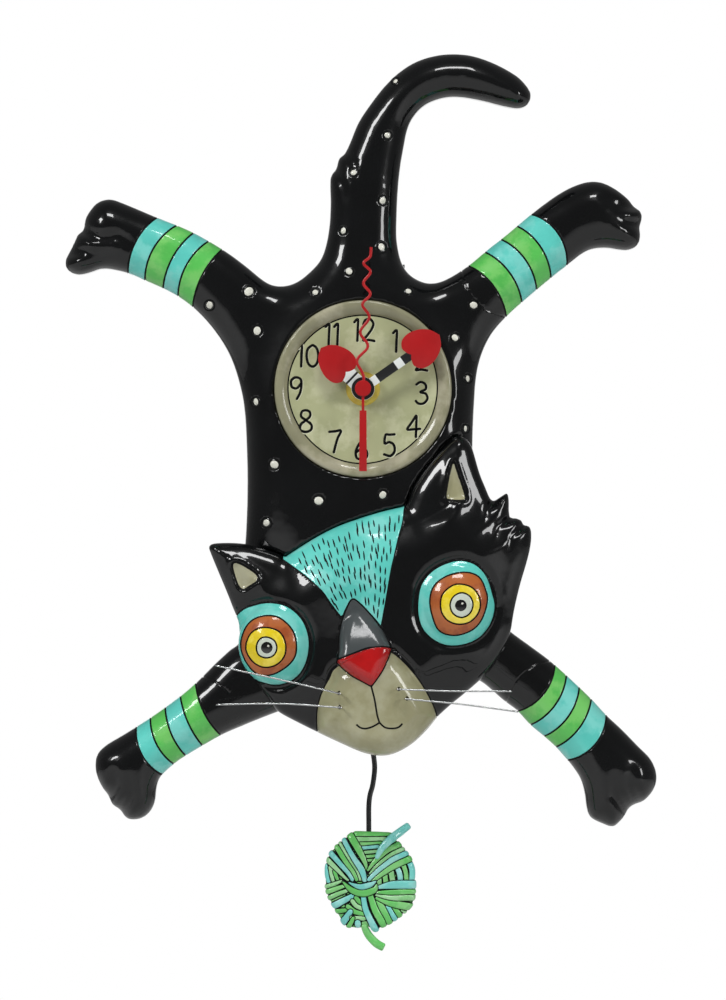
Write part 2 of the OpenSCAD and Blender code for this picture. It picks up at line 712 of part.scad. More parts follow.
module cannon_pinion() {
    color(white_plastic) difference() {
        union() {
            gear(cannon_pinion_g, 0);
            disc(minute_tube_r, case_front - 6.2, minute_end, [0, dial_z]);
        }
        disc(minute_bore_r, case_front - 7, minute_end + 1, [0, dial_z]);
    }
}

module motion_wheel() {
    wheel_and_pinion(motion_wheel_g, motion_wheel_phase, motion_pinion_g, 0, motion_at, arbor_r,
        white_plastic);
}

module hour_wheel() {
    color(white_plastic) difference() {
        union() {
            gear(hour_wheel_g, mate_phase(motion_dir + 180, motion_pinion_g, 0, hour_wheel_g));
            disc(hour_tube_r, case_front - hour_wheel_g[3], hour_end, [0, dial_z]);
        }
        disc(hour_bore_r, case_front - 4, hour_end + 1, [0, dial_z]);
    }
}

module knob_gear() {
    color(white_plastic) at_arbor(knob_at) difference() {
        gear(knob_gear_g, mate_phase(knob_dir, motion_wheel_g, motion_wheel_phase, knob_gear_g));
        hub(1.2 / cos(15), 2, 6);
    }
}

knob_r = 5;
module set_knob() {
    color(black_plastic) {
        spindle(1.2, arbor_layers[0], knob_well[0] + 0.5, knob_at);
        difference() {
            spindle(knob_r, knob_well[0] + 0.4, case_t - 0.1, knob_at);
            for (a = [0:30:330]) spindle(0.6, knob_well[0], case_t + 1,
                knob_at + polar(knob_r + 0.2, a));
        }
    }
}

// ---- hands ----
// Right-hand edge of a heart that points up, from its tip to the notch between its lobes
heart_edge = [[0, 0], [4.4, -2.4], [7.2, -6], [8.3, -10.5], [7.3, -14.6], [4.3, -16.6], [1.2, -15.6]];

module heart(tip) {
    edge = open_curve(heart_edge, 4);
    translate([0, tip]) polygon(concat([for (p = edge) [-p[0], p[1]]],
        [for (i = [len(edge) - 1:-1:1]) edge[i]]));
}

// A hand's drawing, turned to its clock angle about the dial's centre
module hand(angle, at, bore) {
    difference() {
        translate([0, 0, dial_z]) slab(at[0], at[1]) rotate(-angle) children();
        disc(bore, at[0] - 1, at[1] + 1, [0, dial_z]);
    }
}

module hour_hand() {
    color(red) {
        hand(hour_angle, hour_hand_at, hour_tube_r) union() {
            heart(hour_len);
            translate([-3.5, 0]) square([7, hour_len - 14]);
            circle(r = 5, $fn = 64);
        }
    }
}

module minute_hand() {
    color(red) {
        hand(minute_angle, minute_hand_at, minute_tube_r) union() {
            heart(minute_len);
            translate([-2, 0]) square([4, minute_len - 14]);
            circle(r = 4.7, $fn = 64);
        }
    }
}

// Zigzag of the second hand, as its left and right turning points
zig_heights = [0, 5, 12, 17.5, 23.5, 29.5, 35.5, 40, 44.5, 49.5, 53.5, 56.5];
zig_points = [for (i = [1:len(zig_heights) - 1])
    [i % 2 == 1 ? 0.8 - 3.3 * min(i, 3) / 3 : 3.8, zig_heights[i]]];
wire_w = 1.2;

module second_hand() {
    line = concat([[0, 0]], zig_points, [[3.5, second_len - 1], [3.5, second_len]]);
    color(red) difference() {
        translate([0, 0, dial_z]) union() {
            slab(second_hand_at[0], second_hand_at[1]) union() {
                polygon(ribbon(line, wire_w));
                translate([-wire_w / 2, -12]) square([wire_w, 12]);
                translate([-1.6, -35.5]) square([3.2, 25.5]);
            }
            translate([0, 0, -dial_z]) ring(3.4, second_arbor_r, second_hand_at[0] - 0.4,
                second_hand_at[1] + 0.4);
        }
        disc(second_arbor_r, 30, 40, [0, dial_z]);
    }
}

// ---- pendulum ----
module pendulum_pin() {
    color(steel) spindle(pin_r, 0.5, case_t - 0.5, [0, pivot_z - dial_z]);
}

module pendulum_coil() {
    color("#b4622d") difference() {
        disc(6.5, case_front - case_t + case_wall, 8.6, [0, coil_z]);
        disc(2, 2, 9, [0, coil_z]);
    }
}

lever_w = 8;
magnet_r = 3;
module pendulum_lever() {
    color(white_plastic) difference() {
        union() {
            slab(lever_at[0], lever_at[1]) union() {
                translate([0, pivot_z]) circle(r = 3.5, $fn = 64);
                translate([-lever_w / 2, coil_z]) square([lever_w, pivot_z - coil_z]);
                translate([0, coil_z]) circle(r = 5.5, $fn = 64);
                translate([-2.5, peg_z]) square([5, coil_z - peg_z]);
                translate([0, peg_z]) circle(r = 3.2, $fn = 64);
            }
            disc(1.2, rod_depth - 1.6, lever_at[0] + 0.5, [0, peg_z]);
        }
        disc(pin_r + running, 5, 15, [0, pivot_z]);
        disc(magnet_r, 5, 15, [0, coil_z]);
    }
}

module lever_magnet() {
    color(steel) disc(magnet_r, lever_at[0], lever_at[1], [0, coil_z]);
}

module pendulum_rod() {
    path = [for (p = open_curve(rod_route, 4)) with_depth(p, rod_depth)];
    color(resin_black) union() {
        translate([0, -rod_depth, peg_z - 0.05]) rotate([90, 0, 0]) rotate_extrude($fn = 48)
            translate([1.3 + rod_d / 2, 0]) circle(r = rod_d / 2, $fn = 24);
        tube(path, rod_d / 2, 12, [0, 1, 0]);
    }
}

module yarn_end(route) {
    polygon(ribbon(open_curve(route, 3), 3.4));
}

module yarn_ball() {
    back = rod_depth - ball_t / 2;
    color(turquoise) difference() {
        union() {
            stepped([[back, back + 2, 2], [back + 2, back + ball_t - 2, 0],
                [back + ball_t - 2, back + ball_t, 2.5]]) polygon(closed_curve(ball_points, 2));
            slab(rod_depth - 1.7, rod_depth + 1.7) {
                yarn_end(yarn_end_top);
                yarn_end(yarn_end_bottom);
            }
        }
        translate([rod_route[10][0], -rod_depth, rod_route[10][1] - 0.1])
            cylinder(r = rod_d / 2 + 0.02, h = 12, $fn = 48);
    }
}

body_shell();
head_shell();
dial_plate();
whisker(whisker_ul);  // whisker_upper_left
whisker(whisker_ll);  // whisker_lower_left
whisker(whisker_ur);  // whisker_upper_right
whisker(whisker_lr);  // whisker_lower_right
hanger_plate();
hanger_screws();
movement_front_case();
movement_back_case();
threaded_bush();
rubber_gasket();
brass_washer();
hex_nut();
battery();
contact_positive();
contact_negative();
circuit_board();
quartz_crystal();
motor_stator();
motor_coil();
arbor(rotor_at);  // rotor_arbor
rotor_pinion();
rotor_magnet();
arbor(inter_at);  // intermediate_arbor
intermediate_wheel();
second_arbor();
second_wheel();
second_hand();
arbor(third_at);  // third_arbor
third_wheel();
center_wheel();
cannon_pinion();
minute_hand();
arbor(motion_at);  // motion_arbor
motion_wheel();
hour_wheel();
hour_hand();
set_knob();
knob_gear();
pendulum_pin();
pendulum_coil();
pendulum_lever();
lever_magnet();
pendulum_rod();
yarn_ball();
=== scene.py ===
import math
import bpy
import bmesh
import numpy as np
import openvdb
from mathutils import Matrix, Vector
from mathutils.bvhtree import BVHTree


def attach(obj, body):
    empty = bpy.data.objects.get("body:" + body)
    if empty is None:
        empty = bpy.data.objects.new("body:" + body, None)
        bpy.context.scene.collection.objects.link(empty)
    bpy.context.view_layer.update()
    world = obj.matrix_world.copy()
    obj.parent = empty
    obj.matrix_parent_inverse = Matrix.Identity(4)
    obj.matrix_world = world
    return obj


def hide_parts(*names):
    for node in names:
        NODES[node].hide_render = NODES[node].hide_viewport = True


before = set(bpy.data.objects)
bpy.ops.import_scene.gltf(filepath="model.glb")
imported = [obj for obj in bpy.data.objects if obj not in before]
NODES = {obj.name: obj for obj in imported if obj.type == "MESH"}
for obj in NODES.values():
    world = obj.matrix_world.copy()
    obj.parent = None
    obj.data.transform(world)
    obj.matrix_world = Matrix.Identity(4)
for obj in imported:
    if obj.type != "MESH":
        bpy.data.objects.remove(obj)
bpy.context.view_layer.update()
SCENE = bpy.context.scene
# Lengths below are millimetres as (x, depth in front of the wall, z); mm() turns them into metres.
DIAL = np.array([0.0, -40.0])


def mm(p):
    p = np.asarray(p, float)
    return np.stack([p[..., 0], -p[..., 1], p[..., 2]], -1) / 1000


# ------------------------------------------------------------------ curves
def curve(points, steps=4, closed=True):
    """Smooth line through the points; a third value marks a sharp corner."""
    n, out = len(points), []
    flat = [np.array(p[:2] if closed else p, float) for p in points]
    corner = [closed and len(p) > 2 for p in points]
    for i in range(n if closed else n - 1):
        a, b = flat[i], flat[(i + 1) % n]
        p0 = a if corner[i] or (not closed and i == 0) else flat[i - 1]
        p3 = b if corner[(i + 1) % n] or (not closed and i + 2 >= n) else flat[(i + 2) % n]
        for s in range(steps):
            t = s / steps
            out.append(0.5 * (2 * a + t * (b - p0) + t * t * (2 * p0 - 5 * a + 4 * b - p3)
                              + t ** 3 * (3 * a - p0 - 3 * b + p3)))
    if not closed:
        out.append(flat[-1])
    return np.array(out)


def inside(poly, x, z):
    """Signed distance of points to a closed outline, positive inside."""
    x, z = np.asarray(x, float), np.asarray(z, float)
    shape, x, z = x.shape, x.ravel(), z.ravel()
    a, b = poly, np.roll(poly, -1, 0)
    e = b - a
    ee = np.maximum((e ** 2).sum(1), 1e-12)
    out = np.empty(len(x))
    for i in range(0, len(x), 20000):
        px, pz = x[i:i + 20000, None], z[i:i + 20000, None]
        wx, wz = px - a[:, 0], pz - a[:, 1]
        t = np.clip((wx * e[:, 0] + wz * e[:, 1]) / ee, 0, 1)
        d = ((wx - t * e[:, 0]) ** 2 + (wz - t * e[:, 1]) ** 2).min(1)
        up = (a[:, 1] <= pz) != (b[:, 1] <= pz)
        with np.errstate(divide="ignore", invalid="ignore"):
            xc = a[:, 0] + (pz - a[:, 1]) / (b[:, 1] - a[:, 1]) * e[:, 0]
        odd = (up & (px < xc)).sum(1) % 2
        out[i:i + 20000] = np.sqrt(d) * np.where(odd, 1, -1)
    return out.reshape(shape)


def to_line(line, x, z):
    """Distance of points to an open line, and the share of its length there."""
    line = np.asarray(line, float)
    a, e = line[:-1], line[1:] - line[:-1]
    ee = np.maximum((e ** 2).sum(1), 1e-12)
    run = np.concatenate([[0], np.cumsum(np.sqrt(ee))])
    best, share = np.full(x.shape, 1e9), np.zeros(x.shape)
    for k in range(len(a)):
        wx, wz = x - a[k, 0], z - a[k, 1]
        t = np.clip((wx * e[k, 0] + wz * e[k, 1]) / ee[k], 0, 1)
        d = np.hypot(wx - t * e[k, 0], wz - t * e[k, 1])
        near = d < best
        best = np.where(near, d, best)
        share = np.where(near, (run[k] + t * math.sqrt(ee[k])) / run[-1], share)
    return best, share


def smooth(x, lo, hi):
    """0 below lo, 1 above hi, eased between."""
    t = np.clip((x - lo) / (hi - lo), 0, 1)
    return t * t * (3 - 2 * t)


def smin(a, b, k):
    """The lesser of two fields, blended over k millimetres."""
    h = np.maximum(k - np.abs(a - b), 0) / k
    return np.minimum(a, b) - h * h * k / 4


def smax(a, b, k):
    return -smin(-a, -b, k)


# ------------------------------------------------------------------ outlines, as (x, z)
BODY = curve([
    (72.5, 87), (70, 91.5), (65, 96), (55.5, 101), (46, 104), (36, 104.5), (26, 102.5), (18, 98.5),
    (10.5, 92), (4, 84), (-2, 75), (-5.5, 66.5), (-8, 61.5), (-10.5, 59.5), (-11.5, 55),
    (-13.7, 52.5), (-14.2, 48), (-14, 40), (-14.5, 30.5), (-16, 22), (-18.5, 15.5), (-23.5, 10),
    (-29, 6), (-35, 4.5), (-41.5, 6), (-51, 13.5), (-60, 20), (-74, 28), (-88.5, 34), (-104, 40.5),
    (-109.5, 42), (-114.5, 40.5), (-118, 36.5), (-119.8, 33), (-120.5, 28.8), (-122.8, 27),
    (-124.3, 23.5), (-126.3, 20), (-128.3, 15.5), (-127.5, 11.5), (-123, 9.3), (-117.5, 10.3),
    (-111.5, 12), (-101, 10), (-94, 7), (-86, 3.5), (-79.5, 0), (-73.5, -4.5), (-67, -11),
    (-61, -19), (-56.5, -27.5), (-53, -38.5), (-51, -50), (-50, -70.5), (-50, -90), (-51, -110),
    (-52, -130), (-53, -148), (-57, -152), (-63.5, -158), (-72, -166.5), (-79, -172.5),
    (-91.5, -181.5), (-103.5, -189), (-109.5, -192.5), (-113.7, -196), (-115.3, -200),
    (-115, -205.5), (-112.7, -211), (-109.8, -215.3), (-108.3, -218.7), (-104.8, -221.3),
    (-103, -224), (-100, -225.5), (-95, -224.7), (-91.3, -221.5), (-89.5, -217), (-89, -212),
    (-87.3, -207), (-81.5, -201.5), (-76.5, -198), (-69, -193.5), (-61, -189), (-53, -185.5),
    (-44.5, -182), (-34, -178), (-20, -173), (3, -170.5), (30, -167.5), (44, -165),
    (50.5, -165.7), (60.5, -174), (66.5, -178.5), (72, -184.5), (78, -189.5), (83, -194),
    (87, -198.5), (90.3, -202.5), (93.8, -208), (95.5, -214), (96.3, -220), (98, -224.5),
    (104, -227.5), (107.8, -228.6), (110.7, -226.3), (113, -223.8), (114.8, -220.5),
    (117.4, -218.9), (120.7, -217.7), (124.7, -213.5), (126.6, -208.5), (126, -203.5),
    (123.5, -198.7), (118.5, -193.7), (112, -187), (104.5, -180), (98.5, -173.5), (88, -163.5),
    (80, -156.5), (72, -150.5), (62, -143), (54, -134), (49.5, -122), (47.5, -108), (47, -87.5),
    (47.3, -62), (48, -45), (49, -33.5), (51.3, -24.5), (55.5, -16), (62, -8.5), (68.5, -2.5),
    (81, 8), (88, 13.5), (96.5, 19.7), (104, 21), (110, 20.2), (114.3, 20), (118, 21.7),
    (119.6, 25.5), (119.3, 30), (120.3, 33.2), (119.7, 36.7), (116.7, 39), (115, 41.3),
    (110, 45.5), (104, 48.8), (98, 49.6), (90.5, 47.5), (82.5, 43), (72.5, 35.5), (62, 26.7),
    (53.5, 20), (45, 13), (35.5, 7.2), (29.5, 5.7), (24.5, 6.7), (19.5, 10), (16.3, 15.5),
    (14.6, 24), (14.5, 32), (15, 44.5), (16, 55), (17.5, 64), (19.3, 72.5), (22.5, 78.5),
    (27.5, 83), (34.5, 85.6), (41.5, 86), (51.5, 84.3), (60.5, 82), (67, 81), (71, 82.7)])
HEAD = curve([
    (-66, -107.5), (-63, -106.2), (-52, -106.3), (-44, -108.3), (-37, -110.5), (-33.5, -112.3, 1),
    (-29, -109.3), (-20, -103.6), (-10.5, -98.8), (-0.5, -95.2), (8, -92.6), (18, -90.2, 1),
    (19.2, -87.2), (20.6, -83.5), (22.7, -79.5), (26.5, -74), (31, -68.5), (35.5, -63.7),
    (38.5, -61.2), (41, -60.2), (44, -61.3), (46.5, -64.7), (48, -69.3), (50, -76.2),
    (52.5, -82.4), (54.5, -87), (56.2, -88.2, 1), (59, -86.3), (62, -84.4, 1), (62.6, -88),
    (62.6, -92), (63, -95.4, 1), (66, -95.6), (68.2, -96.6, 1), (68.8, -98.6, 1), (71, -98.8),
    (72.1, -101), (72, -106.5), (70.5, -113.5), (67.7, -123), (65.6, -131.5), (64.4, -137.5),
    (63.3, -144), (60.7, -151), (57, -157.5), (52.5, -162.8), (43.5, -170.7), (38, -175.2),
    (32, -180.7), (28.5, -185), (24, -189.7), (19.5, -193.3), (14, -196.2), (8.5, -197.4),
    (3, -196.8), (-2, -195.3), (-9, -192.2), (-19.5, -187.3), (-30.5, -181.8), (-36, -178.7),
    (-38.3, -176.3), (-41, -172.6), (-45, -167), (-48, -162.2), (-50.2, -158), (-52, -151.5),
    (-53, -144), (-53.4, -140), (-55.5, -134.7), (-58.5, -127), (-62.5, -117.5), (-65.8, -109.3)])
MUZZLE = curve([
    (-11, -158.7), (-14.5, -164), (-17, -168.5), (-18.8, -173.5), (-19.7, -178), (-19.7, -183),
    (-19, -187, 1), (-9, -191.5), (-2, -194.5), (3, -196), (8.5, -196.6), (14, -195.5),
    (19.5, -192.5), (24, -189), (28, -184.7), (31.5, -180.7, 1), (30.5, -176.5), (28.4, -172),
    (25, -166.2), (21, -160.8), (16.5, -156), (12, -152.5)])
MUZZLE_PAINT = curve([(-11, -158.7), (-14.5, -164), (-17, -168.5), (-18.8, -173.5), (-19.7, -178),
                      (-19.9, -183), (-19.6, -187.5, 1), (-22, -196, 1), (8, -205), (38, -186, 1),
                      (32, -181.2, 1), (30.5, -176.5), (28.4, -172), (25, -166.2), (21, -160.8),
                      (16.5, -156), (12, -152.5), (5, -150)])
RIDGE = curve([
    (-4.6, -130.5), (-1.8, -131.6), (3, -136.5), (7.5, -142), (10, -146.5), (12, -151.2),
    (8, -161), (3.8, -166.6), (-5.5, -162), (-11, -156.7), (-10.2, -151.5), (-10, -145.5),
    (-8.7, -139), (-6.7, -133.5)])
BRIDGE_PAINT = curve([(-4.6, -130), (-1.8, -131.4), (3, -136.3), (7.6, -141.8), (10.3, -146.5),
                      (12, -150.5, 1), (3, -150.5), (-4, -152.9), (-10.8, -155.6, 1),
                      (-10.4, -151.5), (-10.2, -145.5), (-8.9, -139), (-6.7, -133.3)])
NOSE_PAINT = curve([(-11, -155.7, 1), (-4, -153), (3, -150.6), (9, -150), (12.4, -151, 1),
                    (10.7, -155.5), (8, -161), (3.6, -167.2, 1), (-0.5, -165), (-5.5, -162.2),
                    (-11.3, -157.3, 1)])
BROW_PAINT = curve([(-34.5, -113.2, 1), (-33, -108), (-20, -98), (0, -90), (20, -85, 1),
                    (18, -90.5), (17, -97.5), (15.2, -104), (13.5, -111.5), (12, -118),
                    (9.7, -131.5), (7.7, -142.3, 1), (3, -136.5), (-2, -131.5), (-4.7, -130.3),
                    (-6.7, -133), (-9, -138.3, 1), (-14, -131.7), (-17.7, -126.5), (-25, -120)])
EAR_LEFT = curve([(-56, -116.5), (-55, -114.3), (-51.5, -115.3), (-45.3, -119.5), (-45.3, -122.5),
                  (-49, -125), (-51.3, -126.2), (-53.7, -124)])
EAR_RIGHT = curve([(38.7, -71), (41, -77), (44, -86.3), (42.7, -88), (36.5, -87.7), (35.3, -86),
                   (36, -81), (37.1, -75.5)])
EYE_LEFT = [curve(c) for c in (
    [(-40, -131.5), (-32.5, -133), (-26.5, -138), (-23.5, -144.5), (-23, -151.5), (-25, -159),
     (-29.5, -164.5), (-36.5, -167), (-42.5, -166), (-49, -163.5), (-55, -158), (-58, -149),
     (-57, -141), (-52, -135), (-46.5, -132.6)],
    [(-41, -137), (-35.5, -138), (-30.5, -142.5), (-28.5, -148), (-29, -154.5), (-33.5, -159.5),
     (-40, -162.5), (-46, -161.5), (-50.5, -156), (-52.3, -149.5), (-50.3, -142.5), (-46.5, -138.5)],
    [(-41.5, -142), (-36, -143.6), (-33.2, -148), (-33.2, -153.5), (-36.5, -157.7),
     (-42, -159.1), (-47, -156.7), (-50, -151.5), (-48.8, -146), (-45.8, -143)],
    [(-41, -146.1), (-37.7, -147.7), (-36.7, -151), (-38.2, -154), (-41.5, -155), (-44.7, -153.5),
     (-45.4, -150), (-44, -147)])]
EYE_RIGHT = [curve(c) for c in (
    [(42.5, -113.5), (48.5, -115.5), (53, -120.5), (55.5, -128), (56.5, -134), (54.5, -141),
     (50, -146.5), (43.5, -149.5), (36, -150), (30, -147.5), (25.5, -143), (23.5, -137),
     (23.5, -130), (25, -123.5), (29.5, -118), (36, -114.5)],
    [(43.5, -118.5), (49.5, -120.5), (52.5, -126.5), (53, -131.5), (50.5, -139), (46, -143.5),
     (39, -145.5), (32.5, -143.5), (29.5, -137), (28.5, -130), (30.5, -124), (36, -120)],
    [(41, -123.5), (46.5, -125), (49.7, -129.5), (49.6, -135), (46, -139.4), (41, -140.7),
     (36, -139), (33.2, -134.5), (33.6, -128.5), (37, -124.8)],
    [(42, -127.2), (45.6, -128.8), (46.9, -132.5), (45.3, -136.3), (41.8, -137.8), (38.3, -136),
     (37.1, -132.3), (38.5, -128.9)])]
PUPIL_LEFT, PUPIL_RIGHT = (-41.0, -150.6), (41.7, -132.6)
# Edges of the painted bands on each leg, from the paw inwards: top, middle, bottom
BANDS = {
    "upper_left": [((-88.5, 34.1), (-98.5, 21.4), (-101.2, 10.1)),
                   ((-79.9, 30.8), (-90, 20.3), (-93.9, 7.3)),
                   ((-72.8, 27.5), (-82.4, 15.3), (-86.1, 3.8)),
                   ((-66.3, 23.9), (-75.5, 13.8), (-79.7, -0.1)),
                   ((-60.5, 20.3), (-69.3, 8.4), (-73.4, -4.7))],
    "upper_right": [((72.4, 35.4), (81.8, 29.3), (87.9, 13.8)), ((66.4, 30.2), (76.4, 20.8), (81, 7.9)),
                    ((59.5, 24.5), (70.3, 14.7), (74.7, 3.6)), ((53.2, 18.7), (63.4, 9.3), (68.4, -2.3)),
                    ((45.1, 13.3), (55.7, 4.7), (61.7, -8.7))],
    "lower_left": [((-97.7, -185.8), (-95.9, -195.1), (-86.6, -205.9)),
                   ((-91.6, -181.6), (-88.2, -193.5), (-81.5, -201.4)),
                   ((-85.2, -177.3), (-82.2, -188.5), (-76.5, -197.7)),
                   ((-78.7, -172.2), (-74.5, -184.7), (-69.1, -193.5)),
                   ((-72.1, -166.3), (-68.5, -178.6), (-61.4, -188.8))],
    "lower_right": [((104.8, -180.2), (100.4, -191.8), (88.4, -199.7)),
                    ((98.3, -173.6), (93.2, -185.2), (82.9, -194.2)),
                    ((93.2, -168.2), (88.4, -180.4), (78, -189.5)),
                    ((87.7, -162.7), (83.5, -174.3), (72.4, -184.4)),
                    ((82.6, -158.6), (78.7, -169.5), (67, -178.5))]}
DOTS = [(14, 92.5, 1.2), (10.5, 69, 1.4), (-4, 53, 1.4), (8.5, 41, 1.6), (-8.5, 28, 1.4),
        (8, 21, 1.7), (-6, 10.5, 1.6), (-20.5, 1.5, 1.4), (19.5, 2, 1.4), (-49, 2, 2.1),
        (-66, -4, 1.7), (-45.5, -15, 1.9), (-46, -45.5, 1.6), (-38, -72.5, 1.9), (-19, -88, 2.0),
        (-41.5, -97.5, 1.7), (8.5, -85.5, 1.7), (44, -57, 1.3), (45, -35.5, 1.4), (39.5, -18, 1.6),
        (47.5, -4, 1.7)]
# Grooves between the toes, each from its notch inwards
TOES = [[(-120.5, 28.5), (-113, 24.5), (-105.5, 26), (-100, 22)], [(-126, 19), (-117, 18.5), (-110, 20)],
        [(119.5, 31.5), (112, 32), (106.5, 35.5)], [(116.5, 39), (109.5, 38.5), (103.5, 42)],
        [(-109.5, -216), (-106.5, -210), (-107, -203)], [(-104, -222), (-100, -215), (-100.5, -207)],
        [(113.5, -222), (108.5, -214.5), (108, -207)], [(118.5, -218.5), (114.5, -210.5), (115.5, -203.5)]]


# ------------------------------------------------------------------ solids as fields
def rounded(d2, depth, top, r, low, r_low=1.2):
    """Field of a slab from depth low to top over a region, with its edges rounded; negative inside."""
    def corner(u, v, k):
        a, b = u + k, v + k
        return np.hypot(np.maximum(a, 0), np.maximum(b, 0)) + np.minimum(np.maximum(a, b), 0) - k
    return np.maximum(corner(-d2, depth - top, r), corner(-d2, low - depth, r_low))


def blur(a, times):
    for _ in range(times):
        a = np.pad(a, 1, mode="edge")
        a = (a[:-2, 1:-1] + a[2:, 1:-1] + a[1:-1, :-2] + a[1:-1, 2:] + 2 * a[1:-1, 1:-1]) / 6
    return a


def surface(field, lo, h):
    """Quads of a field's zero level, as points in millimetres and triangles."""
    grid = openvdb.FloatGrid(3.0)
    grid.copyFromArray(np.ascontiguousarray(np.clip(field, -3, 3), np.float32))
    pts, tris, quads = grid.convertToPolygons(0.0, 0.0)
    quads = quads.astype(int)
    t = np.concatenate([tris.astype(int), quads[:, [0, 1, 2]], quads[:, [0, 2, 3]]])
    return np.asarray(pts, float) * h + np.array(lo), t


def edges_of(t):
    e = np.sort(np.concatenate([t[:, [0, 1]], t[:, [1, 2]], t[:, [2, 0]]]), 1)
    return np.unique(e, axis=0)


def relax(v, t, times, amount=0.5):
    """Smooths points without shrinking them much."""
    e = edges_of(t)
    count = np.bincount(e.ravel(), minlength=len(v))[:, None]
    v = v.copy()
    for k in range(2 * times):
        s = np.zeros_like(v)
        for c in range(3):
            s[:, c] = (np.bincount(e[:, 0], v[e[:, 1], c], len(v))
                       + np.bincount(e[:, 1], v[e[:, 0], c], len(v)))
        v += (amount if k % 2 == 0 else -amount * 1.04) * (s / count - v)
    return v


def normals(v, t):
    """Outward unit normals at the points."""
    f = np.cross(v[t[:, 1]] - v[t[:, 0]], v[t[:, 2]] - v[t[:, 0]])
    n = np.zeros_like(v)
    for c in range(3):
        for k in range(3):
            n[:, c] += np.bincount(t[:, k], f[:, c], len(v))
    return n / np.maximum(np.linalg.norm(n, axis=1), 1e-12)[:, None]


class Paint:
    """A triangle mesh that gets cut along painted edges, so that each colour ends on a clean line."""

    def __init__(self, v, t):
        self.v, self.t = v, t
        self.label = np.zeros(len(t), int)
        self.groove = np.zeros(len(v))

    def cut(self, phi, level, where):
        """Splits the triangles in where along phi = level, and returns phi with the new points."""
        p = phi - level
        p[np.abs(p) < 0.05] = 0
        t = self.t
        s = p[t]
        idx = np.nonzero((s.min(1) < 0) & (s.max(1) > 0))[0]
        tri = t[idx]
        e = np.sort(np.concatenate([tri[:, [0, 1]], tri[:, [1, 2]], tri[:, [2, 0]]]), 1)
        code = e[:, 0].astype(np.int64) * len(self.v) + e[:, 1]
        cross = (p[e[:, 0]] * p[e[:, 1]]) < 0
        # a neighbour outside is split on its shared edge
        cross &= np.isin(code, code[cross & np.tile(where[idx], 3)])
        if not cross.any():
            return phi
        some = cross.reshape(3, -1).any(0)
        idx, tri = idx[some], tri[some]
        code, cross = code[np.tile(some, 3)], cross[np.tile(some, 3)]
        hit = np.zeros(len(t), bool)
        hit[idx] = True
        key, inv = np.unique(code, return_inverse=True)
        inv = inv.ravel()
        a, b = key // len(self.v), key % len(self.v)
        use = np.zeros(len(key), bool)
        use[inv[cross]] = True
        w = np.where(use, p[a] / np.where(use, p[a] - p[b], 1), 0)[:, None]
        new = np.full(len(key), -1)
        new[use] = len(self.v) + np.arange(use.sum())
        nv = (self.v[a] * (1 - w) + self.v[b] * w)[use]
        ng = (self.groove[a] * (1 - w[:, 0]) + self.groove[b] * w[:, 0])[use]
        m = len(tri)
        mid = np.where(cross, new[inv], -1).reshape(3, m).T
        out, lab = [], []
        for r in range(3):
            i, j, k = tri[:, r], tri[:, (r + 1) % 3], tri[:, (r + 2) % 3]
            ij, jk, ki = mid[:, r], mid[:, (r + 1) % 3], mid[:, (r + 2) % 3]
            two = (ij >= 0) & (ki >= 0)
            for q in ((i, ij, ki), (ij, j, k), (ij, k, ki)):
                out.append(np.stack(q, 1)[two])
                lab.append(self.label[idx][two])
            one = (jk >= 0) & (ij < 0) & (ki < 0)
            for q in ((i, j, jk), (i, jk, k)):
                out.append(np.stack(q, 1)[one])
                lab.append(self.label[idx][one])
        self.v = np.concatenate([self.v, nv])
        self.groove = np.concatenate([self.groove, ng])
        self.t = np.concatenate([t[~hit], *out])
        self.label = np.concatenate([self.label[~hit], *lab])
        return np.concatenate([phi, np.full(len(nv), float(level))])

    def stroke(self, measure, inner, line=0.24, ok=None, box=None, black=0, deep=1.0):
        """Cuts along measure() = 0 with an incised line; inner is the label on its positive side."""
        lo, hi = box
        v = self.v
        near = (v[:, 0] > lo[0]) & (v[:, 0] < hi[0]) & (v[:, 2] > lo[1]) & (v[:, 2] < hi[1])
        phi = np.full(len(v), -50.0)
        phi[near] = measure(v[near, 0], v[near, 2])
        for level in (-line, 0.0, line):
            flags = phi > -49
            where = flags[self.t].all(1)
            if ok is not None:
                where &= ok(self.v[self.t].mean(1))
            phi = self.cut(phi, level, where)
        c = self.v[self.t].mean(1)
        near = (phi[self.t] > -49).all(1) & (ok(c) if ok is not None else True)
        mean = phi[self.t].mean(1)
        if inner is not None:
            self.label[near & (mean > line)] = inner
        self.label[near & (np.abs(mean) <= line)] = black
        seen = np.zeros(len(self.v), bool)
        seen[self.t[near].ravel()] = True
        on = seen & (np.abs(phi) < line * 0.6)
        self.groove[on] = np.maximum(self.groove[on], deep)


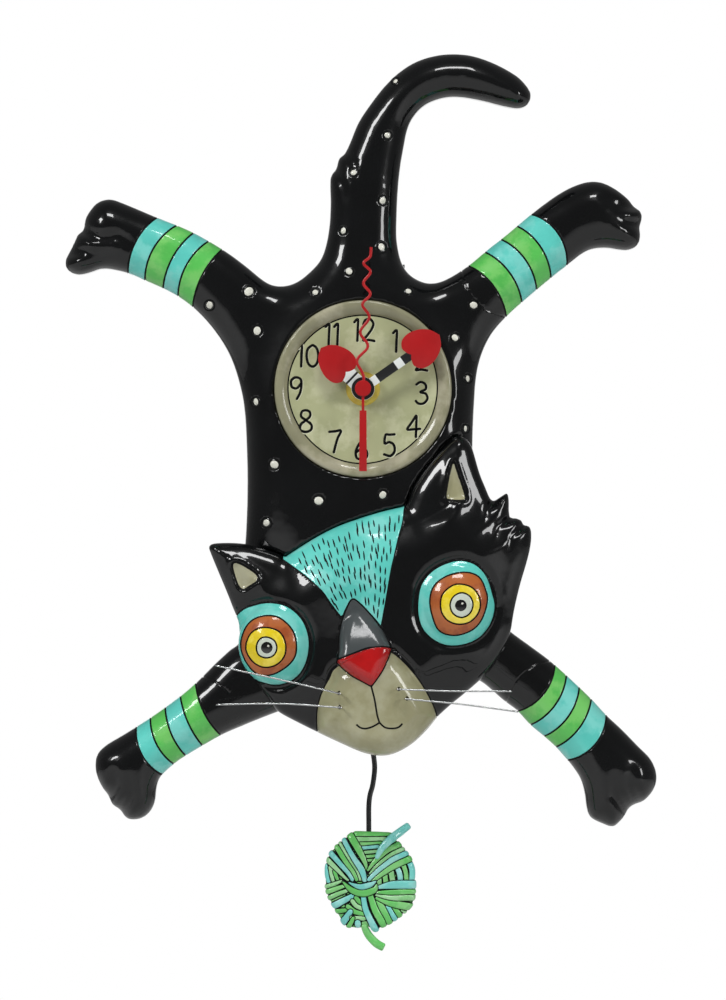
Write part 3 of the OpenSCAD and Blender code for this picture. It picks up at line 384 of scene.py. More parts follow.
# ------------------------------------------------------------------ objects
def make(name, verts, faces, mats, body, index=None, node=None, sharp=None, sheet=False):
    """One visible piece riding on a body; an array of triangles is taken as closed and facing outward."""
    me = bpy.data.meshes.new(name)
    if isinstance(faces, np.ndarray) and faces.shape[1] == 3:
        verts = np.asarray(verts, np.float32)
        me.vertices.add(len(verts))
        me.vertices.foreach_set("co", verts.ravel())
        me.loops.add(faces.size)
        me.loops.foreach_set("vertex_index", faces.astype(np.int32).ravel())
        me.polygons.add(len(faces))
        me.polygons.foreach_set("loop_start", np.arange(0, faces.size, 3, dtype=np.int32))
        me.update(calc_edges=True)
        me.validate()
    else:
        me.from_pydata([tuple(p) for p in verts], [], [tuple(int(i) for i in f) for f in faces])
        me.validate()
    for m in mats:
        me.materials.append(m)
    if index is not None:
        me.polygons.foreach_set("material_index", np.asarray(index, np.int32))
    me.polygons.foreach_set("use_smooth", np.full(len(me.polygons), True))
    # closed pieces face outward, thin laid-on ones face the room
    if not isinstance(faces, np.ndarray):
        bm = bmesh.new()
        bm.from_mesh(me)
        if sheet:
            bmesh.ops.reverse_faces(bm, faces=[q for q in bm.faces if q.normal.y > 0])
        else:
            bmesh.ops.recalc_face_normals(bm, faces=bm.faces)
        bm.to_mesh(me)
        bm.free()
    if sharp:
        me.set_sharp_from_angle(angle=math.radians(sharp))
    me.update()
    o = bpy.data.objects.new(name, me)
    SCENE.collection.objects.link(o)
    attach(o, body)
    if node:
        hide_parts(*([node] if isinstance(node, str) else node))
    return o


def loft(rings, n, closed=False):
    """Faces between rings of n points each; closed also joins the last ring to the first."""
    return [(k * n + a, k * n + (a + 1) % n, (k + 1) % rings * n + (a + 1) % n, (k + 1) % rings * n + a)
            for k in range(rings if closed else rings - 1) for a in range(n)]


def lathe(profile, n, z=0.0):
    """A closed profile of (radius, depth) turned about the hands' axis at height z."""
    turns = [2 * math.pi * a / n for a in range(n)]
    v = [(r * math.cos(t), d, r * math.sin(t) + z) for r, d in profile for t in turns]
    return v, loft(len(profile), n, True)


def skin_faces(n):
    """Faces of a strip with four points across and n along."""
    return [(4 * i + k, 4 * i + k + 1, 4 * i + 5 + k,
             4 * i + 4 + k) for i in range(n - 1) for k in range(3)]


def tube(path, radius, sides=12, flat=1.0, ref=(0, 1, 0)):
    """Round or flattened bar along a path of (x, depth, z); radius may vary along it."""
    path = np.asarray(path, float)
    n = len(path)
    radius = np.broadcast_to(np.asarray(radius, float), (n,))
    t = np.gradient(path, axis=0)
    t /= np.linalg.norm(t, axis=1)[:, None]
    a = np.array(ref, float) - (t @ np.array(ref, float))[:, None] * t
    a /= np.linalg.norm(a, axis=1)[:, None]
    b = np.cross(t, a)
    v = []
    for k in range(sides):
        c, s = math.cos(2 * math.pi * k / sides), math.sin(2 * math.pi * k / sides)
        v.append(path + radius[:, None] * (flat * c * a + s * b))
    v = np.stack(v, 1).reshape(-1, 3)
    ends = [tuple(range(sides))[::-1], tuple((n - 1) * sides + k for k in range(sides))]
    return v, loft(n, sides) + ends


def gather(parts):
    """Joins (verts, faces) or (verts, faces, material index) lists."""
    v, f, m, base = [], [], [], 0
    for p in parts:
        v.append(np.asarray(p[0], float))
        f += [tuple(base + i for i in q) for q in p[1]]
        m += [p[2] if len(p) > 2 else 0] * len(p[1])
        base += len(p[0])
    return np.concatenate(v), f, m


def plate(outline, back, front, bevel=0.12):
    """A flat plate from an outline with softened front edges; outline runs anticlockwise."""
    p = np.asarray(outline, float)
    area = (p[:, 0] * np.roll(p[:, 1], -1) - np.roll(p[:, 0], -1) * p[:, 1]).sum()
    if area < 0:
        p = p[::-1]
    e = np.roll(p, -1, 0) - p
    e /= np.maximum(np.linalg.norm(e, axis=1), 1e-9)[:, None]
    n = np.stack([e[:, 1], -e[:, 0]], 1)
    m = n + np.roll(n, 1, 0)
    m = m / np.maximum((m ** 2).sum(1), 0.35)[:, None] * 2
    q = p - m * bevel
    n_p = len(p)
    rows = [(p, back + bevel), (p, front - bevel), (p - m * bevel * 0.3, front - bevel * 0.3), (q, front)]
    rows = [(q, back)] + rows
    v = np.concatenate([np.column_stack([r[:, 0], np.full(n_p, d), r[:, 1]]) for r, d in rows])
    f = loft(len(rows), n_p)
    f.append(tuple(range(n_p))[::-1])
    f.append(tuple((len(rows) - 1) * n_p + i for i in range(n_p)))
    return v, f


class Cast:
    """Finds a mesh's front surface under a point (x, z)."""

    def __init__(self, v, t):
        self.tree = BVHTree.FromPolygons([tuple(p) for p in v], [tuple(int(i) for i in q) for q in t])

    def at(self, x, z, default=20.0):
        hit, n, _, _ = self.tree.ray_cast(Vector((x, 80, z)), Vector((0, -1, 0)))
        if hit is None:
            return default, Vector((0, 1, 0))
        return hit.y, n


# ------------------------------------------------------------------ materials
def material(name, color, rough=0.3, metal=0.0, coat=0.0, coat_rough=0.04, vary=0.12, vary_scale=60,
             bump=0.0, bump_scale=200, spots=None, spot_scale=40, rough_vary=0.06, spec=0.5):
    """Principled material: noise varies its colour by vary, and its roughness by rough_vary."""
    m = bpy.data.materials.new(name)
    m.use_nodes = True
    nt = m.node_tree
    b = nt.nodes["Principled BSDF"]
    b.inputs["Metallic"].default_value = metal
    b.inputs["Coat Weight"].default_value = coat
    b.inputs["Coat Roughness"].default_value = coat_rough
    b.inputs["Specular IOR Level"].default_value = spec
    tc = nt.nodes.new("ShaderNodeTexCoord")
    noise = nt.nodes.new("ShaderNodeTexNoise")
    noise.inputs["Scale"].default_value = vary_scale
    noise.inputs["Detail"].default_value = 4
    nt.links.new(tc.outputs["Object"], noise.inputs["Vector"])
    ramp = nt.nodes.new("ShaderNodeValToRGB")
    c = np.array(color)
    ramp.color_ramp.elements[0].position, ramp.color_ramp.elements[1].position = 0.3, 0.7
    ramp.color_ramp.elements[0].color = (*np.clip(c * (1 - vary), 0, 1), 1)
    ramp.color_ramp.elements[1].color = (*np.clip(c * (1 + vary), 0, 1), 1)
    nt.links.new(noise.outputs["Fac"], ramp.inputs["Fac"])
    out = ramp.outputs["Color"]
    if spots is not None:
        n2 = nt.nodes.new("ShaderNodeTexNoise")
        n2.inputs["Scale"].default_value = spot_scale
        n2.inputs["Detail"].default_value = 6
        n2.inputs["Roughness"].default_value = 0.6
        nt.links.new(tc.outputs["Object"], n2.inputs["Vector"])
        r2 = nt.nodes.new("ShaderNodeValToRGB")
        r2.color_ramp.elements[0].position, r2.color_ramp.elements[1].position = 0.47, 0.58
        nt.links.new(n2.outputs["Fac"], r2.inputs["Fac"])
        mix = nt.nodes.new("ShaderNodeMix")
        mix.data_type = "RGBA"
        nt.links.new(r2.outputs["Color"], mix.inputs["Factor"])
        nt.links.new(out, mix.inputs[6])
        mix.inputs[7].default_value = (*spots, 1)
        out = mix.outputs[2]
    nt.links.new(out, b.inputs["Base Color"])
    if rough_vary:
        mr = nt.nodes.new("ShaderNodeMapRange")
        mr.inputs["To Min"].default_value = max(rough - rough_vary, 0.02)
        mr.inputs["To Max"].default_value = rough + rough_vary
        n3 = nt.nodes.new("ShaderNodeTexNoise")
        n3.inputs["Scale"].default_value = vary_scale * 1.7
        nt.links.new(tc.outputs["Object"], n3.inputs["Vector"])
        nt.links.new(n3.outputs["Fac"], mr.inputs["Value"])
        nt.links.new(mr.outputs["Result"], b.inputs["Roughness"])
    else:
        b.inputs["Roughness"].default_value = rough
    if bump:
        bn = nt.nodes.new("ShaderNodeTexNoise")
        bn.inputs["Scale"].default_value = bump_scale
        bn.inputs["Detail"].default_value = 3
        nt.links.new(tc.outputs["Object"], bn.inputs["Vector"])
        bp = nt.nodes.new("ShaderNodeBump")
        bp.inputs["Strength"].default_value = 1.0
        bp.inputs["Distance"].default_value = bump
        nt.links.new(bn.outputs["Fac"], bp.inputs["Height"])
        nt.links.new(bp.outputs["Normal"], b.inputs["Normal"])
        if coat:
            nt.links.new(bp.outputs["Normal"], b.inputs["Coat Normal"])
    return m


def lin(h):
    """Linear colour from a six-digit sRGB value."""
    c = np.array([int(h[i:i + 2], 16) for i in (0, 2, 4)]) / 255
    return np.where(c <= 0.04045, c / 12.92, ((c + 0.055) / 1.055) ** 2.4)


GLAZE = dict(coat=1.0, coat_rough=0.03, bump=0.0005, bump_scale=42)
PAINT = dict(rough=0.4, coat=0.7, coat_rough=0.06, bump=0.0002, bump_scale=90, spec=0.2)
M_BLACK = material("glaze_black", lin("070809"), rough=0.25, vary=0.3, spec=0.1, **GLAZE)
M_BLACK.node_tree.nodes["Principled BSDF"].inputs["Coat IOR"].default_value = 1.42
M_LINE = material("incised_line", lin("050606"), rough=0.5, coat=0.0, vary=0.2, bump=0.00005, spec=0.15)
M_TURQ = material("paint_turquoise", lin("5cc9bd"), vary=0.09, spots=lin("78d2c8"), spot_scale=70, **PAINT)
M_GREEN = material("paint_green", lin("57bd55"), vary=0.1, spots=lin("74c866"), spot_scale=70, **PAINT)
M_TAN = material("paint_tan", lin("9a9775"), vary=0.07, spots=lin("aaa88c"), spot_scale=30, **PAINT)
M_RED = material("paint_red", lin("a80e10"), vary=0.3, rough=0.3, coat=0.9, coat_rough=0.04, bump=0.0002,
                 bump_scale=80, spec=0.1)
M_GREY = material("paint_grey", lin("44494a"), vary=0.15, rough=0.4, coat=0.6, coat_rough=0.1, bump=0.0002,
                  bump_scale=80, spec=0.1)
M_BROWN = material("paint_brown", lin("b0602c"), vary=0.15, spots=lin("9c4c22"), spot_scale=120, **PAINT)
M_YELLOW = material("paint_yellow", lin("e2c916"), vary=0.1, spots=lin("f0dc50"), spot_scale=90, **PAINT)
M_WHITE = material("paint_white", lin("c9d2c4"), vary=0.06, **PAINT)
M_PUPIL = material("paint_pupil", lin("060606"), rough=0.1, coat=1.0, coat_rough=0.02, vary=0.3)
M_CREAM = material("paint_cream", lin("d8d8cc"), vary=0.1, **PAINT)


def assign(node, mat):
    o = NODES[node]
    o.data.materials.clear()
    o.data.materials.append(mat)


# Sizes shared by the castings
SEAT_R, SEAT_FLOOR = 38.2, 22        # the dial's seat
HEAD_BACK = 20.0                     # depth at which the head meets the torso
# nothing inside this circle stands higher, so the second hand clears it
SWEEP_R, SWEEP_FLOOR = 61.3, 32.6
SCORE = 0.4                          # depth of an incised line in the body
FACE_SCORE = 0.35                    # and in the face

# ------------------------------------------------------------------ body casting
H = 1.0                              # grid of the body's field
bx, bz = np.arange(-131, 130.1, H), np.arange(-232, 108.1, H)
bd = np.arange(-3, 30.1, H)
BX, BZ = np.meshgrid(bx, bz, indexing="ij")
body_d = blur(inside(BODY, BX, BZ), 2)
head_d = inside(HEAD, BX, BZ)
torso = 1 - np.hypot((BX + 1) / 55, (BZ + 66) / 92)
top = 19.5 + 6.6 * smooth(torso, 0.0, 0.42)
for paw, bulge in (((-114, 26), 2.0), ((108, 35), 2.0), ((-102, -208), 2.0), ((110, -206), 2.0)):
    top += bulge * np.exp(-((BX - paw[0]) ** 2 + (BZ - paw[1]) ** 2) / 14 ** 2)
for line in TOES:
    d, share = to_line(line, BX, BZ)
    top -= 4.4 * (1 - 0.75 * share) * np.exp(-(d / 2.4) ** 2)
for line in ([(-8, 61), (-4, 57), (-3, 50)], [(-12.5, 53), (-8.5, 48), (-8, 42)]):
    d, share = to_line(line, BX, BZ)
    top -= 2.6 * (1 - 0.8 * share) * np.exp(-(d / 1.3) ** 2)
top = blur(top, 2)
D = bd[None, :, None]
f = rounded(body_d[:, None, :], D, top[:, None, :], 12.0, 0.0)
well = np.hypot(BX - DIAL[0], BZ - DIAL[1]) - SEAT_R
f = smax(f, -np.maximum(well[:, None, :], SEAT_FLOOR - D), 0.8)
f = np.maximum(f, -np.maximum(-(head_d[:, None, :] + 0.35), HEAD_BACK - 0.3 - D))


def block(x0, x1, d0, d1, z0, z1):
    """Field of a box over the body's grid."""
    return np.maximum(np.maximum(np.abs(BX - (x0 + x1) / 2) - (x1 - x0) / 2,
                                 np.abs(BZ - (z0 + z1) / 2) - (z1 - z0) / 2)[:, None, :],
                      np.abs(D - (d0 + d1) / 2) - (d1 - d0) / 2)


for cutter in (block(-39, 37, -9, 17.4, -150, -10.8), block(-16, 16, -9, 13, -195, -148),
               block(-18.6, 18.6, -9, 1.9, -7.6, 14.6), block(-6, 6, -9, 9.5, -6, 12),
               np.maximum((np.hypot(BX, BZ + 40) - 4.7)[:, None, :], np.abs(D - 20) - 4)):
    f = smax(f, -cutter, 0.6)
bv, bt = surface(f, (bx[0], bd[0], bz[0]), H)
bv = relax(bv, bt, 5)
body = Paint(bv, bt)


def arc(points, paw):
    """Signed distance to the circle through three points, positive away from the paw."""
    (ax, az), (cx, cz), (ex, ez) = points
    d = 2 * (ax * (cz - ez) + cx * (ez - az) + ex * (az - cz))
    ux = ((ax * ax + az * az) * (cz - ez) + (cx * cx + cz * cz) * (ez - az) + (ex * ex + ez * ez)
          * (az - cz)) / d
    uz = ((ax * ax + az * az) * (ex - cx) + (cx * cx + cz * cz) * (ax - ex) + (ex * ex + ez * ez)
          * (cx - ax)) / d
    r = math.hypot(ax - ux, az - uz)
    sign = 1 if math.hypot(paw[0] - ux, paw[1] - uz) < r else -1
    return lambda x, z: sign * (np.hypot(x - ux, z - uz) - r)


LEG_BOX = {"upper_left": ((-131, -30), (-45, 60), (-114, 26)),
           "upper_right": ((40, -30), (131, 60), (108, 35)),
           "lower_left": ((-131, -232), (-57, -150), (-102, -208)),
           "lower_right": ((60, -232), (131, -145), (110, -206))}
BAND_REACH = 36          # bands are cut no farther than this from the middle of their leg's set


def front(c):
    """Whether face centres lie on the painted side of the body."""
    return c[:, 1] > 0.9


for leg, bands in BANDS.items():
    lo, hi, paw = LEG_BOX[leg]
    mid = np.mean([p for b in bands for p in b], axis=0)

    def near(c):
        return front(c) & (np.hypot(c[:, 0] - mid[0], c[:, 2] - mid[1]) < BAND_REACH)

    for i, pts in enumerate(bands):
        body.stroke(arc(pts, paw), (1, 2, 1, 2, 0)[i], line=0.4, ok=near, box=(lo, hi), black=3)
for x0, z0, r0 in DOTS:                          # a fine scored ring round each dot
    body.stroke(lambda x, z: r0 + 0.6 - np.hypot(x - x0, z - z0), None, 0.3, front,
                ((x0 - r0 - 3, z0 - r0 - 3), (x0 + r0 + 3, z0 + r0 + 3)), 3, 0.7)
bv = body.v - normals(body.v, body.t) * body.groove[:, None] * SCORE
make("body_casting", mm(bv), body.t[:, ::-1], [M_BLACK, M_TURQ, M_GREEN, M_LINE], "clock",
     index=body.label, node="body_shell")
body_cast = Cast(bv, body.t)

# cream dots, slightly raised
parts = []
for k, (x, z, r) in enumerate(DOTS):
    d, n = body_cast.at(x, z)
    n = Vector((n.x, n.y, n.z)).normalized()
    if n.y < 0:
        n = -n
    u = n.cross(Vector((0, 0, 1))).normalized()
    w = n.cross(u)
    v = []
    for share, high in ((0.5, 0.36), (0.82, 0.16), (1.0, -0.25)):
        for a in range(16):
            q = r * share * (1 + 0.07 * math.sin(2 * a * math.pi / 8 + k))
            p = Vector((x, d,
                        z)) + u * q * math.cos(a * math.pi / 8) + w * q * math.sin(a
                                                                                   * math.pi / 8) + n * high
            v.append(tuple(p))
    v.append(tuple(Vector((x, d, z)) + n * 0.42))
    fc = loft(3, 16) + [(48, (a + 1) % 16, a) for a in range(16)]
    parts.append((v, fc))
v, fc, _ = gather(parts)
make("cream_dots", mm(v), fc, [M_CREAM], "clock", sheet=True)

# ------------------------------------------------------------------ head casting
h = 0.7
hx, hz = np.arange(-70, 76.1, h), np.arange(-202, -56, h)
hd = np.arange(17, 52, h)
HX, HZ = np.meshgrid(hx, hz, indexing="ij")
head_d = inside(HEAD, HX, HZ)
face = smooth(head_d, 2, 22)
muz_d, ridge_d = inside(MUZZLE, HX, HZ), inside(RIDGE, HX, HZ)
top = 30.3 + 7.0 * face
top += 2.2 * np.exp(-((HX + 10) ** 2 / 20 ** 2 + (HZ + 122) ** 2 / 20 ** 2))
top += 1.6 * np.exp(-((HX - 48) ** 2 / 12 ** 2 + (HZ + 158) ** 2 / 10 ** 2))
hd3 = hd[None, :, None]
reach = SWEEP_R + 0.5 - np.hypot(HX - DIAL[0], HZ - DIAL[1])
limit = 32.3 + 0.9 * np.maximum(-reach, 0)
top = smin(top, limit, 1.5)
for ear in (EAR_LEFT, EAR_RIGHT):
    e = inside(ear, HX, HZ)
    top += 0.7 * np.exp(-((e + 1.2) / 1.2) ** 2) - 1.5 * smooth(e, -0.6, 1.0)
for line in ([(56.2, -88), (53, -92), (52, -97)], [(63, -95.4), (58, -99), (56, -104)],
             [(68.8, -98.6), (64, -103), (62, -108)]):
    d, share = to_line(line, HX, HZ)
    top -= 2.2 * (1 - 0.85 * share) * np.exp(-(d / 1.2) ** 2)
for poly, width, deep in ((EYE_LEFT[0], 1.5, 1.6), (EYE_RIGHT[0], 1.5, 1.6), (MUZZLE_PAINT, 1.2, 1.2)):
    e = inside(poly, HX, HZ)
    top -= deep * np.exp(-((e + 0.8) / width) ** 2)
top = blur(top, 2)
f = rounded(blur(head_d, 1)[:, None, :], hd3, top[:, None, :], 6.5, 20.0, 0.6)


def egg(cx, cd, cz, rx, rd, rz):
    """Field of an ellipsoid over the head's grid."""
    q = np.sqrt(((HX - cx) / rx)[:, None, :] ** 2 + ((hd3 - cd) / rd) ** 2 + ((HZ - cz) / rz)[:, None,
                                                                                              :] ** 2)
    return (q - 1) * min(rx, rd, rz)


f = smin(f, np.maximum(egg(-37.5, 30.5, -149.3, 15.8, 13.3, 17.8), 22 - hd3), 0.8)
f = smin(f, np.maximum(egg(40, 30.5, -131.8, 16.9, 13.6, 18.4), 22 - hd3), 0.8)
f = smin(f, rounded(muz_d[:, None, :], hd3, 45.2 - 0.012 * (HX[:, None, :] - 4) ** 2, 9.0, 24.0), 1.0)
ridge_top = 38.2 + 9.6 * smooth(-HZ, 131, 156)
f = smin(f, rounded(ridge_d[:, None, :], hd3, ridge_top[:, None, :], 5.0, 24.0), 0.9)
f = np.maximum(f, -np.maximum((np.hypot(HX - DIAL[0], HZ - DIAL[1]) - SWEEP_R)[:, None, :],
                              SWEEP_FLOOR - hd3))
hv, ht = surface(f, (hx[0], hd[0], hz[0]), h)
hv = relax(hv, ht, 4)
head = Paint(hv, ht)


def face_front(c):
    """Whether face centres lie on the painted side of the head."""
    return c[:, 1] > 20.8


def outline(poly, label, line=0.36, black=1, deep=1.0):
    lo, hi = poly.min(0) - 3, poly.max(0) + 3
    head.stroke(lambda x, z: inside(poly, x, z), label, line, face_front, (lo, hi), black, deep)


outline(BROW_PAINT, 2)
outline(MUZZLE_PAINT, 3, line=0.3)
outline(BRIDGE_PAINT, 4)
outline(NOSE_PAINT, 5, line=0.3)
outline(EAR_LEFT, 3, line=0.5)
outline(EAR_RIGHT, 3, line=0.5)
for eye, pupil in ((EYE_LEFT, PUPIL_LEFT), (EYE_RIGHT, PUPIL_RIGHT)):
    for ring, label in zip(eye, (2, 6, 7, 8)):
        outline(ring, label, line=0.34)
    c = np.linspace(0, 2 * math.pi, 40, endpoint=False)
    outline(np.stack([pupil[0] + 2.4 * np.cos(c), pupil[1] + 2.4 * np.sin(c)], 1), 9, line=0.1, black=9,
            deep=0)
hv = head.v - normals(head.v, head.t) * head.groove[:, None] * FACE_SCORE
make("head_casting", mm(hv), head.t[:, ::-1],
     [M_BLACK, M_LINE, M_TURQ, M_TAN, M_GREY, M_RED, M_BROWN, M_YELLOW, M_WHITE, M_PUPIL], "clock",
     index=head.label, node="head_shell")
head_cast = Cast(hv, head.t)


def laid(line, width, lift):
    """A slim tapered stroke that follows the head's surface: (verts, faces)."""
    line = np.asarray(line, float)
    n = len(line)
    t = np.gradient(line, axis=0)
    t /= np.linalg.norm(t, axis=1)[:, None]
    side = np.stack([-t[:, 1], t[:, 0]], 1)
    w = np.broadcast_to(np.asarray(width, float), (n,)) / 2
    v, fc = [], []
    for i in range(n):
        for s, up in ((-1, -0.15), (-0.55, lift), (0.55, lift), (1, -0.15)):
            x, z = line[i] + side[i] * w[i] * s
            v.append((x, head_cast.at(x, z)[0] + up, z))
    return v, skin_faces(n)


# hatch strokes on the brow, fanning out from the nose
parts, rng = [], np.random.default_rng(5)
brow = BROW_PAINT
for row in range(14):
    radius = 11 + row * 4.5
    count = int(3.2 + radius * 0.42)
    for k in range(-2, count + 3):
        a = math.radians(74 + (k + (row % 2) * 0.5) / count * 66) + rng.normal(0, 0.012)
        r = radius + rng.normal(0, 0.8)
        x, z = 1.5 + r * math.cos(a), -150 + r * math.sin(a)
        lean = a + (math.pi / 2 - a) * 0.45 + rng.normal(0, 0.05) + 0.12
        size = 3.5 * rng.uniform(0.85, 1.2)
        t = np.linspace(-0.5, 0.5, 5)[:, None] * size
        line = np.array([x, z]) + t * np.array([math.cos(lean), math.sin(lean)])
        if min(inside(brow, *line.T).min(), inside(HEAD, *line.T).min() - 0.4) < 0.7:
            continue
        parts.append(laid(line, [0.35, 0.85, 1.0, 0.8, 0.3], 0.08))
v, fc, _ = gather(parts)
make("brow_strokes", mm(v), fc, [M_LINE], "clock", sheet=True)

# mouth
parts = []
for pts in ([(3.5, -167), (5, -173), (6, -179), (7, -182.5)],
            [(7, -182.5), (4.5, -184), (1.5, -185), (-1, -184.7), (-2.8, -183.3)],
            [(7, -182.5), (9.5, -184.6), (13, -185), (15.3, -184.4), (16.8, -183)]):
    line = curve(pts, 6, closed=False)
    parts.append(laid(line, 1.05, 0.1))
v, fc, _ = gather(parts)
make("mouth_lines", mm(v), fc, [M_LINE], "clock", sheet=True)
# catch-lights painted in the pupils
parts = []
for (x, z) in ((PUPIL_LEFT[0] + 0.7, PUPIL_LEFT[1] + 0.7), (PUPIL_RIGHT[0] + 0.6, PUPIL_RIGHT[1] + 0.8)):
    d = head_cast.at(x, z)[0]
    v = [(x + q * math.cos(a * math.pi / 6), d + up, z + q * math.sin(a * math.pi / 6))
         for q, up in ((0.55, -0.1), (0.4, 0.06)) for a in range(12)] + [(x, d + 0.1, z)]
    fc = loft(2, 12) + [(12 + a, 12 + (a + 1) % 12, 24) for a in range(12)]
    parts.append((v, fc))
v, fc, _ = gather(parts)
make("catch_lights", mm(v), fc, [M_CREAM], "clock", sheet=True)

# ------------------------------------------------------------------ dial
M_FACE = material("dial_face", lin("a9ac84"), rough=0.4, coat=0.6, coat_rough=0.12, vary=0.1, vary_scale=45,
                  spots=lin("bfc19c"), spot_scale=55, bump=0.00018, bump_scale=60)
M_RIM = material("dial_rim", lin("8c8a6f"), rough=0.4, spec=0.2, coat=0.6, coat_rough=0.08, vary=0.12,
                 spots=lin("a8a48c"),
                 spot_scale=45, bump=0.0001, bump_scale=80)
# pale colour for the painted highlight laid along one side of each numeral stroke
M_NUMERAL_HIGHLIGHT = material("dial_painted_highlight", lin("cfd0b4"), rough=0.35, coat=0.5, vary=0.08)
profile = [(4.4, 22.0, 0), (4.4, 24.1, 0), (12, 24.15, 0), (22, 24.2, 0), (29, 24.2, 0), (31.6, 24.15, 0),
           (31.75, 23.95, 3), (31.95, 23.85, 3), (32.2, 23.95, 3), (32.4, 24.3, 1), (32.9, 24.7, 1),
           (33.8, 25.4, 1),
           (34.9, 25.95, 1), (36, 26.2, 1), (37, 26.15, 1), (37.6, 25.8, 1), (37.95, 25.2, 1),
           (38.0, 24.0, 1),
           (38.0, 22.0, 1)]
n = 180
rng = np.random.default_rng(3)
wob = [rng.normal(0, 1, 4), rng.uniform(0, 6.28, 4)]
v = []
for r, d, _ in profile:
    for a in range(n):
        t = 2 * math.pi * a / n
        w = sum(0.10 * wob[0][q] * math.sin((q + 2) * t + wob[1][q])
                for q in range(4)) if 31 < r < 33.5 else 0
        v.append(((r + w) * math.cos(t), d, DIAL[1] + (r + w) * math.sin(t)))
fc = loft(len(profile), n, True)
mi = [colour for row in (*profile[1:], (0, 0, 1)) for colour in [min(row[2], 2)] * n]
make("dial", mm(v), fc, [M_FACE, M_RIM, M_LINE], "clock", index=mi, node="dial_plate",
     sharp=50)

# hand-lettered numerals: strokes in a box one unit high, x to the right
GLYPH = {
    "0": [[(0.3, 1), (0.08, 0.82), (0.02, 0.5), (0.1, 0.15), (0.3, 0), (0.5, 0.15), (0.58, 0.5),
           (0.5, 0.85), (0.3, 1)]],
    "1": [[(0.02, 0.86), (0.2, 1.0), (0.19, 0.5), (0.17, 0.0)]],
    "2": [[(0.04, 0.76), (0.14, 0.96), (0.36, 1.0), (0.52, 0.82), (0.44, 0.55), (0.22, 0.25), (0.03, 0.03),
           (0.3, 0.05), (0.58, 0.0)]],
    "3": [[(0.05, 0.88), (0.25, 1.0), (0.48, 0.9), (0.5, 0.68), (0.24, 0.54), (0.5, 0.46), (0.58, 0.24),
           (0.42, 0.03), (0.18, 0.0), (0.02, 0.14)]],
    "4": [[(0.42, 1.0), (0.2, 0.66), (0.0, 0.36), (0.3, 0.36), (0.62, 0.38)],
          [(0.44, 0.98), (0.43, 0.5), (0.41, 0.0)]],
    "5": [[(0.56, 1.0), (0.3, 0.98), (0.12, 0.97), (0.08, 0.58), (0.3, 0.64), (0.52, 0.5), (0.54, 0.2),
           (0.34, 0.0), (0.04, 0.08)]],
    "6": [[(0.5, 1.0), (0.22, 0.76), (0.04, 0.4), (0.08, 0.1), (0.32, 0.0), (0.56, 0.14), (0.54, 0.42),
           (0.32, 0.52), (0.08, 0.36)]],
    "7": [[(0.0, 0.95), (0.3, 0.98), (0.56, 1.0), (0.38, 0.6), (0.22, 0.0)]],
    "8": [[(0.3, 0.54), (0.08, 0.72), (0.12, 0.94), (0.32, 1.0), (0.5, 0.9), (0.48, 0.7), (0.28, 0.53),
           (0.06, 0.34),
           (0.04, 0.1), (0.28, 0.0), (0.54, 0.1), (0.56, 0.34), (0.3, 0.54)]],
    "9": [[(0.5, 0.72), (0.3, 0.5), (0.08, 0.56), (0.04, 0.84), (0.24, 1.0), (0.48, 0.92), (0.52, 0.66),
           (0.46, 0.3), (0.3, 0.0)]]}
PLACES = {12: (0.7, -14.9), 1: (13.8, -19.6), 2: (25.2, -27.6), 3: (25.2, -41.8), 4: (21.8, -56.1),
          5: (11.4, -64.2),
          6: (-0.6, -65.8), 7: (-11.7, -62.7), 8: (-24.4, -53.9), 9: (-28.3, -39.8), 10: (-23.4, -25.9),
          11: (-13.3, -16.9)}


def ribbon(line, width, d, thick, shift=(0, 0)):
    line = np.asarray(line, float) + np.array(shift)
    t = np.gradient(line, axis=0)
    t /= np.maximum(np.linalg.norm(t, axis=1), 1e-9)[:, None]
    side = np.stack([-t[:, 1], t[:, 0]], 1)
    line = np.concatenate([[line[0] - t[0] * width * 0.3], line, [line[-1] + t[-1] * width * 0.3]])
    side = np.concatenate([[side[0]], side, [side[-1]]])
    w = np.full(len(line), width / 2)
    w[0] = w[-1] = width * 0.22
    v, fc = [], []
    for i in range(len(line)):
        for s, up in ((-1, 0), (-0.6, thick), (0.6, thick), (1, 0)):
            x, z = line[i] + side[i] * w[i] * s
            v.append((x, d + up, z))
    return v, skin_faces(len(line))


black, light = [], []
for number, (cx, cz) in PLACES.items():
    text, size = str(number), 9.3
    widths = {"1": 0.24}
    total = sum(widths.get(c, 0.6) for c in text) + 0.16 * (len(text) - 1)
    x0 = cx - total * size / 2
    for c in text:
        for stroke in GLYPH[c]:
            pts = np.array([(x0 + px * size * 0.97, cz + (pz - 0.5) * size) for px, pz in stroke])
            line = curve(pts, 5, closed=False)
            black.append(ribbon(line, 1.35, 24.16, 0.13))
            # a paler, wider ribbon shifted to one side under the stroke: a painted highlight on the
            # numeral's raised edge
            light.append(ribbon(line, 1.75, 24.12, 0.1, (0.2, -0.17)))
        x0 += (widths.get(c, 0.6) + 0.16) * size
v, fc, _ = gather(black)
make("numerals", mm(v), fc, [M_LINE], "clock", sheet=True)
# the painted highlights beside the numerals, as one piece
v, fc, _ = gather(light)
make("numeral_painted_highlights", mm(v), fc, [M_NUMERAL_HIGHLIGHT], "clock", sheet=True)

# ------------------------------------------------------------------ hands
M_HAND = material("hand_red", lin("a81216"), rough=0.42, vary=0.1, bump=0.00003, bump_scale=300, coat=0.2,
                  coat_rough=0.2, spec=0.3)
M_STRIPE = material("hand_black", lin("101214"), rough=0.4, vary=0.2, coat=0.3)
M_STRIPE_W = material("hand_white", lin("dfe3e0"), rough=0.4, vary=0.05, coat=0.3)
HEART = [(0, 0), (4.2, -2.2), (7.0, -6), (8.2, -10.5), (7.4, -14.4), (4.6, -16.5), (1.6, -15.9), (0, -14.8)]


